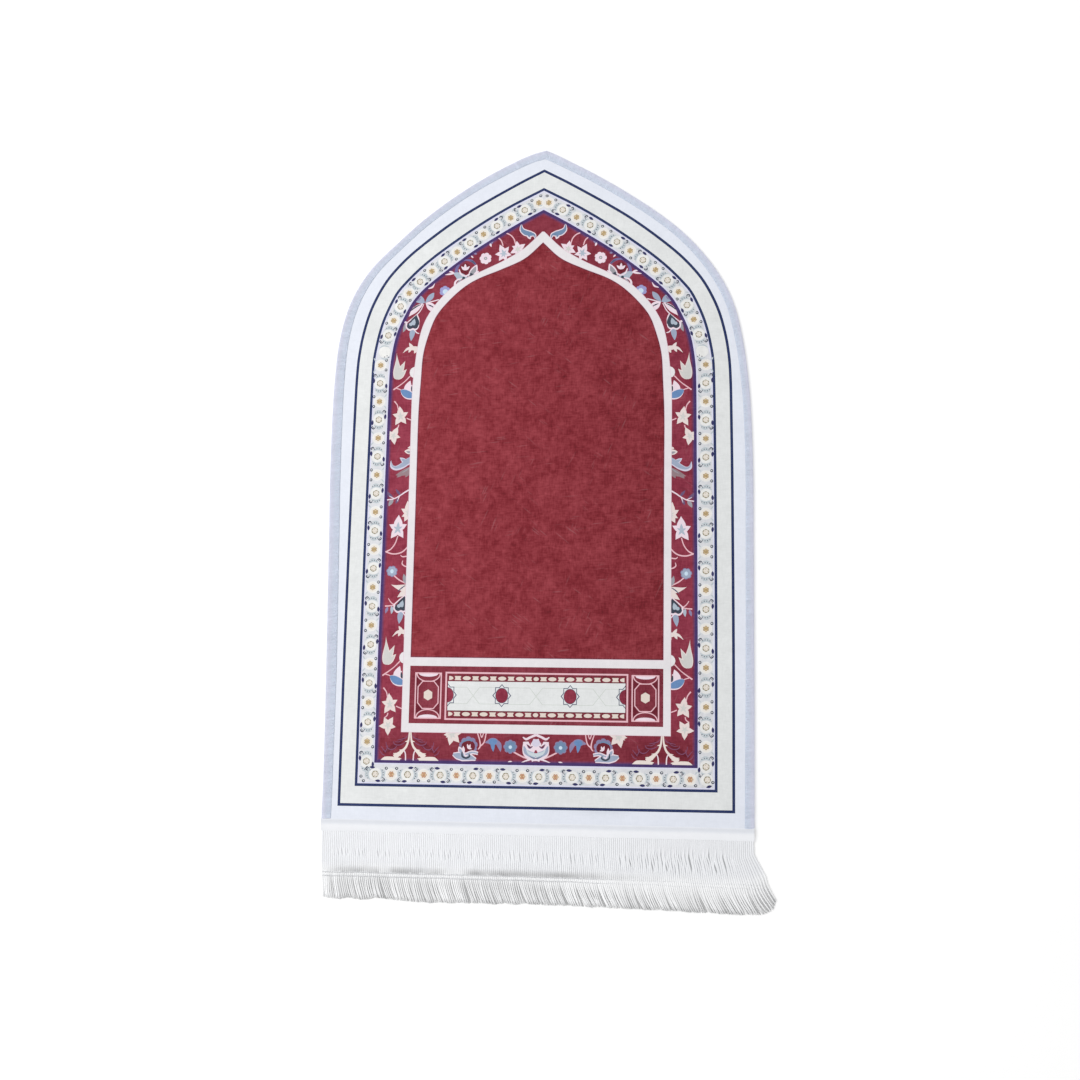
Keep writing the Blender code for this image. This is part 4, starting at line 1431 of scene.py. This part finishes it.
# The fold above the chained rows: how high it stands, how far down the rows press and where its painted
# shadow lies on the cords, with the heights above the upper row where this happens and over how much
fold = {"lift": 1.5, "liftAt": 13, "liftOver": 6, "press": 0.45, "pressAt": -1, "pressOver": 5,
    "lowerShare": 0.4, "shadeFrom": 0.6, "shadeTo": 11, "shadeOver": 7, "even": 0.8, "uneven": 0.5,
    "unevenLong": 30}
# Across the fringe from left to right: how far each height leans to the right, where the chained rows lie,
# and where the slits between the cords begin and end
fanRows = {
    "across": (0.0, 0.03, 0.08, 0.5, 0.8, 0.93, 0.96, 0.975, 0.9875, 1.0),
    "skirt": (0, 0, 0, 0, 0, 0, 0, 0.3, 0.6, 1.0),
    "chain": (1.5, 2.5, 3, 3, 4, 9, 12, 14, 16.5, 18.5),
    "tip": (4, 10, 14, 17, 20, 28, 33, 36.4, 37.6, 34),
    "chainY": (-620, -620, -620, -621.5, -624, -626, -626, -627, -627, -627),
    "slitTop": (-584, -584, -584, -584, -579, -579, -580, -582, -586, -590),
    "slitFoot": (-595, -595, -596, -599, -613, -614, -612, -610, -606, -600),
}
tipRows = {
    "across": (0.0, 0.03, 0.05, 0.09, 0.115, 0.14, 0.21, 0.5, 0.8, 0.93, 0.96, 0.975, 0.9875, 0.995, 1.0),
    "y": (
        -657.5, -660.5, -658, -660.5, -657, -659, -662.4, -661.5, -666.5, -669.5, -669, -666, -659.5, -652,
        -645,
    ),
}
foldRows = {
    "across": (0.0, 0.03, 0.05, 0.13, 0.14, 0.155, 0.17, 0.27, 0.3, 0.33, 0.36, 0.6, 0.68, 0.8, 1.0),
    "depth": (0.0, 0.5, 0.9, 0.9, 0.3, 0.3, 1.0, 0.85, 0.15, 0.15, 1.0, 0.85, 0.3, 0.06, 0.0),
}
# depth below the tape's top, height, tone; the tone darkens the sewn groove as painted shade, lightens the
# folded top edge as a painted highlight, and is lighter towards the foot
tapeSection = ((15.5, 0.6, 0), (9.6, 2.9, 0), (1.5, 2.9, 0), (1.5, 3.45, 0.2), (2.0, 3.8, 0.3),
    (3.4, 3.85, -0.5), (4.8, 3.5, -1.3), (6.6, 3.45, -1.4), (8.4, 3.7, -0.6), (11.0, 3.85, 0.2),
    (14.0, 3.6, 0.9), (17.0, 2.9, 0.9), (20.5, 2.0, 0.6))
# The tape's woven edge, above edgeDepth, waves in shorter turns than the rest
tape = {"stations": 221, "edgeDepth": 1.6, "wave": 0.5, "waveLong": 60, "waveDeep": 30, "edgeWave": 0.25,
    "edgeWaveLong": 18, "turnsAt": 6.6, "turnsOver": 6.0, "sharp": 50}

# Where a cord's stations lie along it, closest where it slits and folds
cordShares = np.concatenate([(0.0, 0.04, 0.14), np.linspace(0.22, 0.68, 21), (0.74, 0.8, 0.87, 0.94, 1.0)])
slitRows = {"across": (0.0, 0.1, 0.5, 0.68, 0.78, 0.93, 1.0),
    "chance": (0.2, 0.55, 0.45, 0.45, 0.6, 0.6, 0.1)}
leanRows = (0.0, 0.28, 0.62, 0.76, 0.88, 1.0)  # shares of a cord between which its lean changes evenly


def fanAt(column, across):
    return np.interp(across, fanRows["across"], fanRows[column])


def bell(value, middle, reach):
    return np.exp(-((value - middle) / reach) ** 2)


def buildTape(finish):
    left, right = edgeX(tapeTop, 1) + fringe["leftIn"], edgeX(tapeTop, 2) - fringe["rightIn"]
    rows = []
    for depth, z, tone in tapeSection:
        row = []
        for x in np.linspace(left, right, tape["stations"]):
            if depth > tape["edgeDepth"]:
                spot = Vector((x / tape["waveLong"], 0.3, depth / tape["waveDeep"]))
                wave = tape["wave"] * noise.noise(spot)
            else:
                spot = Vector((x / tape["edgeWaveLong"], 7.7, 0.0))
                wave = tape["edgeWave"] * noise.noise(spot)
            row.append((x, footLine(tapeTop, x) - depth - wave, z))
        rows.append(row)
    piece = addSweep("fringe_tape", rows, finish, tape["sharp"])
    along = np.clip([(depth - tape["turnsAt"]) / tape["turnsOver"] for depth, z, tone in tapeSection], 0, 1)
    markYarn(piece, [tone for depth, z, tone in tapeSection], along, tape["stations"])
    return piece


def window(value, top, foot):
    # 1 between top and foot, with short soft ends
    return np.exp(-(np.abs(value - 0.5 * (top + foot)) / (0.5 * abs(top - foot))) ** 4)


def cordSlits(rng, count):
    # Some neighbours part for a short way: short slits on the left, closer and longer ones on the right
    slits = {}
    for k in range(slit["ends"][0], count - slit["ends"][1]):
        across = k / count
        chance = np.interp(across, slitRows["across"], slitRows["chance"])
        top, foot = fanAt("slitTop", across), fanAt("slitFoot", across)
        slits[k] = []
        for part in range(2 if across > slit["twoFrom"] else 1):
            if rng.random() < chance:
                room = top - foot
                long = min(room, rng.uniform(slit["short"], slit["short"] + slit["grow"] * room))
                start = top - rng.uniform(0, 1) * (room - long) + rng.uniform(-slit["shift"], slit["shift"])
                slits[k].append((start, start - long, rng.uniform(*slit["open"])))
    return slits


def buildFringeCords(finish):
    rng = random.Random(fringe["seed"])
    half = 0.5 * fringe["thick"]
    left, right = edgeX(tapeTop, 1) + fringe["leftIn"] + half, edgeX(tapeTop, 2) - fringe["rightIn"] - half
    shares = cordShares
    shake, toneShake, ownLean = fringe["rootShake"], fringe["toneShake"], fringe["ownLean"]
    paths, tones, wide = [], [], []
    count = fringe["cords"]
    slits = cordSlits(rng, count)
    bunchLean, bunchTone, bunchLeft = 0.0, 0.0, 0
    for k in range(count):
        if bunchLeft == 0:
            bunchLeft = rng.choice(fringe["bunchSizes"])
            bunchLean = rng.uniform(-1, 1) * fringe["bunchLean"] * min(1.0, k / 8, (count - k) / 10)
            bunchTone = rng.uniform(*fringe["bunchTones"])
        bunchLeft -= 1
        for upper in (True, False):
            across = (k + (0.5 if upper else 1.0)) / count
            if across >= 1.0:
                continue
            x0 = left + (right - left) * across + rng.uniform(-shake, shake)
            y0 = footLine(tapeTop, x0) - fringe["rootDepth"]
            cut = fringe["cutWave"] * noise.noise(Vector((x0 / 16, 6.1, 0.0)))
            tip = np.interp(across, tipRows["across"], tipRows["y"])
            tip += cut + fringe["cutShake"] * rng.uniform(-1, 1)
            y = y0 + (tip - y0) * shares
            chain, far = fanAt("chain", across), fanAt("tip", across)
            leans = (0.0, fanAt("skirt", across), chain, chain + 0.22 * (far - chain),
                chain + 0.56 * (far - chain), far)
            lean = np.interp(shares, leanRows, leans)
            loose = np.clip((shares - fringe["looseFrom"]) / (1 - fringe["looseFrom"]), 0, 1)
            loose = loose ** fringe["loosePower"]
            wander = np.array([noise.noise(Vector((k * 0.37, s * 4.0, 2.0))) for s in shares])
            own = rng.uniform(-ownLean, ownLean) * min(1.0, (count - k) / 10)
            own += bunchLean if upper else 0.0
            x = x0 + lean + loose * own + (fringe["wander"][0] + fringe["wander"][1] * loose) * wander
            free = np.clip((shares - 0.6) / np.interp(across, (0.4, 0.8), (0.12, 0.36)), 0, 1)
            row = fanAt("chainY", across)
            deep = np.interp(across, foldRows["across"], foldRows["depth"])
            deep *= fold["even"] + fold["uneven"] * noise.noise(Vector((x0 / fold["unevenLong"], 2.2, 0.0)))
            above = y - row
            # painted shadow on the cords above the chained rows, deepest where the fold stands out; the loose
            # ends a little darker, and darker towards the right
            shade = np.clip((fold["shadeTo"] - above) / fold["shadeOver"], 0, 1) * (above > fold["shadeFrom"])
            shade = shade * fringe["foldPaintedShadow"] * deep - 0.6 * free
            shade = shade + fringe["rightTone"] * max(0.0, across - 0.3)
            # where neighbours part in a slit the upper cords move apart, and the lower cord beneath gets
            # painted shadow
            for edge, way in ((k, 1), (k + 1, -1)):
                for top, foot, size in slits.get(edge, ()):
                    gap = size * window(y, top, foot)
                    if upper:
                        slant = (0.5 * (top + foot) - y) / (top - foot) * fringe["slitSlant"]
                        x = x + gap * (way * fringe["slitOpen"] + slant)
                    elif way < 0:
                        shade = shade + fringe["slitPaintedShadow"] * gap
            z = (fringe["upper"] if upper else fringe["lower"])
            ends = (min(z, 1.2), z - 0.15)
            rise = fold["lift"] * bell(above, fold["liftAt"], fold["liftOver"])
            rise = rise - fold["press"] * bell(above, fold["pressAt"], fold["pressOver"])
            z = z + deep * rise * (1 if upper else fold["lowerShare"])
            uneven = np.array([noise.noise(Vector((k * 0.91, s * 9.0, 5.0))) for s in shares])
            z = z + fringe["wanderUp"] * uneven
            z[0], z[-1] = ends
            # each bunch gets its own tone at random, and its last cord a painted shadow from its neighbour
            if upper:
                shade = shade + (bunchTone + (fringe["bunchEdgePaintedShadow"] if bunchLeft == 0 else 0.0)) * free
            else:
                # the lower layer gets painted shade from the cords above it, deeper under the loose ends
                more = fringe["looseLowerPaintedShade"] * min(1.0, k / 10) - fringe["lowerPaintedShade"]
                shade = np.maximum(shade + fringe["lowerPaintedShade"] + more * free, 1.3 * fringe["looseLowerPaintedShade"])
            paths.append(np.column_stack([x, y, np.maximum(z, fringe["lowest"])]))
            thin = 1 - fringe["endThin"] * free - 0.15 * (shares > 0.97)
            wide.append(fringe["thick"] * rng.uniform(*fringe["thickRange"]) * thin)
            tones.append(shade + rng.uniform(-toneShake, toneShake))
    return addThreads("fringe_threads", paths, np.array(wide), np.array(tones), finish,
        high=fringe["flat"], sides=fringe["sides"])


def buildChainRows(finish):
    # Two rows of chained loops across the cords
    rng = random.Random(fringe["chainSeed"])
    left, right = edgeX(tapeTop, 1) + 4, edgeX(tapeTop, 2) - 5
    paths, tones = [], []
    long, wide = fringe["chainLong"], fringe["chainWide"]
    for row in (0, 1):
        links = int((right - left) / long)
        for k in range(links):
            across = (k + 0.5) / links
            x0 = left + (right - left) * across + fanAt("chain", across) + rng.uniform(-0.1, 0.1)
            y0 = fanAt("chainY", across) - row * fringe["rowGap"]
            y0 += 0.9 * noise.noise(Vector((x0 / 40, row * 5.0, 1.0)))
            sunk = np.interp(across, (0.5, 0.7), (0.0, 0.4))
            for way in (-1, 1):
                spots = []
                for t in (0.0, 0.22, 0.5, 0.8, 1.12):
                    bow = math.sin(math.pi * min(t, 1.0) ** 0.8)
                    spots.append((x0 + long * (t - 0.5), y0 + way * 0.5 * wide * bow * 0.8,
                        2.0 - sunk + 0.35 * math.sin(math.pi * min(1.0, t))))
                paths.append(spots)
                # painted shade: the lower side of each link is darker, less so towards the right
                tones.append(rng.uniform(-0.8, 0.2) - (1.6 if way < 0 else 0.2) * (1 - 0.8 * across))
    return addThreads("fringe_chain_rows", paths, fringe["chainThick"], tones, finish)


# Sizes in metres, scratchTurns in radians; the rubbed share says how much of the pale pile shows through.
# takenBy and wornBy say how strongly clouds, patches and grain act on the dye and on the rubbing. The share
# towards the right is painted shade.
velour = {
    "cloudSize": 0.045,
    "patchSize": 0.011,
    "grainFine": 420.0,
    "grainLong": 90.0,
    "wornAndShaded": 0.0128,
    "scratchTurns": (1.45, 0.4, -0.9),
    "scratchThin": 330.0,
    "scratchLong": 28.0,
    "scratchShare": 0.052,
    "pale": (0.88, 0.72, 0.76),
    "shadeToRight": 0.55,
    "takenBy": (0.64, 0.74, 0.5),
    "wornBy": (3.4, 4.4, 2.4),
    "scratchSpots": (0.54, 0.64),
    "scratchLines": (0.62, 0.74),
    "pile": 1500.0,
}


def velourFinish():
    # The dye, unevenly absorbed, rubbed a little pale, with thin scratches where the pile was brushed, and
    # painted shade towards the right
    made = Finish("printed_velour", Sheen_Weight=0.04, Sheen_Roughness=0.5, Specular_IOR_Level=0.12)
    dye = made.node("ShaderNodeAttribute", {"attribute_name": "dye"})
    strength = Wire(made.tree, dye.socket.node.outputs["Alpha"])
    clouds = made.noise(1.0 / velour["cloudSize"], detail=3.0, rough=0.6) - 0.5
    patches = made.noise(1.0 / velour["patchSize"], detail=3.0, rough=0.62, twist=0.3) - 0.5
    fine, long = velour["grainFine"], velour["grainLong"]
    weft = made.noise(1.0, detail=1.0, spot=made.place((long, fine, 1.0))) - 0.5
    warp = made.noise(1.0, detail=1.0, spot=made.place((fine, long, 1.0))) - 0.5
    # painted shade: the print grows darker towards the right, where the light falls off, and shows less pale
    # pile there
    right = made.node("ShaderNodeSeparateXYZ", {}, {"Vector": made.place()}) * velour["shadeToRight"]
    cloudy, patchy, grainy = velour["takenBy"]
    uptakeAndShade = 1.0 + strength * (clouds * cloudy + patches * patchy + weft * grainy + warp * grainy - right)
    cloudy, patchy, grainy = velour["wornBy"]
    wearAndShade = 1.0 + clouds * cloudy + patches * patchy + (weft + warp) * grainy - right * grainy
    wornAndShaded = strength * velour["wornAndShaded"] * wearAndShade
    wornAndShaded = wornAndShaded.math("MAXIMUM", wornAndShaded, 0.0)
    brushed = None
    for turn in velour["scratchTurns"]:
        spot = made.place((velour["scratchThin"], velour["scratchLong"], 1.0), turn)
        where = made.noise(14.0, detail=1.0, spot=made.place(turn=turn + 2.0)).step(*velour["scratchSpots"])
        streak = made.noise(1.0, detail=1.0, spot=spot).step(*velour["scratchLines"]) * where
        brushed = streak if brushed is None else brushed.math("MAXIMUM", brushed, streak)
    color = made.mixColor(wornAndShaded, made.shade(dye, uptakeAndShade), velour["pale"])
    color = made.mixColor(brushed * strength * velour["scratchShare"], color, velour["pale"])
    pile = made.noise(velour["pile"], detail=2.0, rough=0.7)
    height = pile * 0.6 + patches * 0.9 + clouds * 0.4
    rough = 0.9 + patches * 0.2
    return made.feed(Base_Color=color, Roughness=rough, Normal=made.bump(height, 0.3, 0.0006))


def backingFinish():
    made = Finish("mat_backing", Roughness=0.9)
    weave = made.node("ShaderNodeTexWave", {"wave_type": "BANDS", "bands_direction": "X"},
        {"Vector": made.place(), "Scale": 220.0, "Distortion": 0.4})
    other = made.node("ShaderNodeTexWave", {"wave_type": "BANDS", "bands_direction": "Y"},
        {"Vector": made.place(), "Scale": 220.0, "Distortion": 0.4}, out=1)
    height = weave.math("MAXIMUM", Wire(made.tree, weave.socket.node.outputs[1]), other)
    soil = made.noise(40.0, detail=3.0)
    base = screenColor(226, 224, 216, lightLevel)
    color = made.shade(base, 0.92 + soil * 0.12 + height * 0.05)
    return made.feed(Base_Color=color, Normal=made.bump(height, 0.5, 0.0003))


# Linear yarn colors, lighter than they look because close threads shade each other
yarns = {
    "edgeInner": (0.672, 0.738, 0.87),
    "edgeOuter": (0.70, 0.722, 0.862),
    "fringe": (0.835, 0.845, 0.87),
    "fringeEnd": (0.94, 0.945, 0.955),
    "tapeTop": (0.72, 0.74, 0.79),
    "tapeFoot": (0.79, 0.80, 0.83),
}


def yarnFinish(name, first, second, change, patch=60.0, toneReach=0.06):
    # first turns into second along the thread, over the two shares in change; tone, which holds the yarn's
    # own tone and painted shade, makes it lighter or darker
    made = Finish(name, Roughness=0.8, Sheen_Weight=0.1, Sheen_Roughness=0.4)
    tone = made.node("ShaderNodeAttribute", {"attribute_name": "tone"}, out="Fac")
    along = made.node("ShaderNodeAttribute", {"attribute_name": "along"}, out="Fac")
    uneven = made.noise(patch, detail=2.0) - 0.5
    blend = (along + uneven * 0.12).step(*change)
    color = made.mixColor(blend, first, second)
    fibre = made.noise(900.0, detail=1.0) - 0.5
    color = made.shade(color, 1.0 + tone * toneReach + fibre * 0.1 + uneven * 0.06)
    return made.feed(Base_Color=color, Normal=made.bump(fibre, 0.3, 0.0002))


def floorFinish():
    made = Finish("pale_floor", Roughness=0.95)
    speck = made.noise(6.0, detail=2.0)
    return made.feed(Base_Color=made.shade((0.99, 0.99, 0.99), 0.995 + speck * 0.01))


body = "root"
print("building the mat")
printedMat = buildMat(velourFinish(), backingFinish())
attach(printedMat, body)
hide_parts("mat_cloth")

print("building the overlocked edge")
edgeYarn = yarnFinish("overlock_thread", yarns["edgeInner"], yarns["edgeOuter"], (0.14, 0.32), toneReach=0.04)
edgeGround = yarnFinish("overlock_ground", yarns["edgeOuter"], yarns["edgeOuter"], (0.0, 1.0))
edgePieces = [buildEdgeBand(edgeGround), buildEdgeStitches(edgeYarn), buildNeedleLine(edgeYarn)]
for piece in edgePieces:
    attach(piece, body)
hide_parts("overlock_edge")

print("building the fringe")
fringeYarn = yarnFinish("fringe_thread", yarns["fringe"], yarns["fringeEnd"], (0.5, 0.8), toneReach=0.04)
tapeCloth = yarnFinish("fringe_tape_cloth", yarns["tapeTop"], yarns["tapeFoot"], (0.1, 0.9), toneReach=0.04)
fringePieces = [buildTape(tapeCloth), buildFringeCords(fringeYarn), buildChainRows(fringeYarn)]
for piece in fringePieces:
    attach(piece, body)
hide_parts("fringe")

clothLine = outline(clothFoot)
clothOutline = inset(clothLine, bandDepths(clothLine, mat["rimShare"]))
wide = max(x for x, y in clothOutline) - min(x for x, y in clothOutline)
long = max(y for x, y in clothOutline) - min(y for x, y in clothOutline)
round(wide * mm, 3)
round(long * mm, 3)
round(abs(area(clothOutline)) * mm * mm, 4)

print("setting the studio")
studio = {"ambient": 0.86, "softbox": 60.0, "softboxSize": 3.0, "softboxAt": (-2.6, 0.9, 2.6),
    "floorHalf": 4.0, "floorDrop": 0.0002}
floorMesh = bpy.data.meshes.new("studio_floor")
reach = studio["floorHalf"]
floorMesh.from_pydata([(-reach, -reach, 0), (reach, -reach, 0), (reach, reach, 0), (-reach, reach, 0)], [],
    [(0, 1, 2, 3)])
floorMesh.materials.append(floorFinish())
floor = bpy.data.objects.new("studio_floor", floorMesh)
bpy.context.scene.collection.objects.link(floor)
floor.location.z = -studio["floorDrop"]

scene = bpy.context.scene
scene.view_settings.view_transform = "Standard"
world = bpy.data.worlds.new("studio")
world.use_nodes = True
world.node_tree.nodes["Background"].inputs["Color"].default_value = (1.0, 1.0, 1.0, 1.0)
world.node_tree.nodes["Background"].inputs["Strength"].default_value = studio["ambient"]
scene.world = world
lamp = bpy.data.lights.new("softbox", "AREA")
lamp.shape = "DISK"
lamp.size = studio["softboxSize"]
lamp.energy = studio["softbox"]
softbox = bpy.data.objects.new("softbox", lamp)
softbox.location = studio["softboxAt"]
softbox.rotation_euler = Vector(studio["softboxAt"]).to_track_quat("Z", "Y").to_euler()
scene.collection.objects.link(softbox)

viewpoint = {
    "lens": 55.0,
    "sensor": 36.0,
    "place": (0.37004909, -0.57260755, 2.52797116),
    "turns": (10.538121, 8.080504, -0.436126),
    "shift": (-0.5 / 1080, 0.5 / 1080),
}
cameraData = bpy.data.cameras.new("camera")
cameraData.lens = viewpoint["lens"]
cameraData.sensor_width = viewpoint["sensor"]
cameraData.shift_x, cameraData.shift_y = viewpoint["shift"]
camera = bpy.data.objects.new("camera", cameraData)
camera.rotation_mode = "ZYX"
camera.rotation_euler = [math.radians(turn) for turn in viewpoint["turns"]]
camera.location = viewpoint["place"]
scene.collection.objects.link(camera)
scene.camera = camera

print("done")
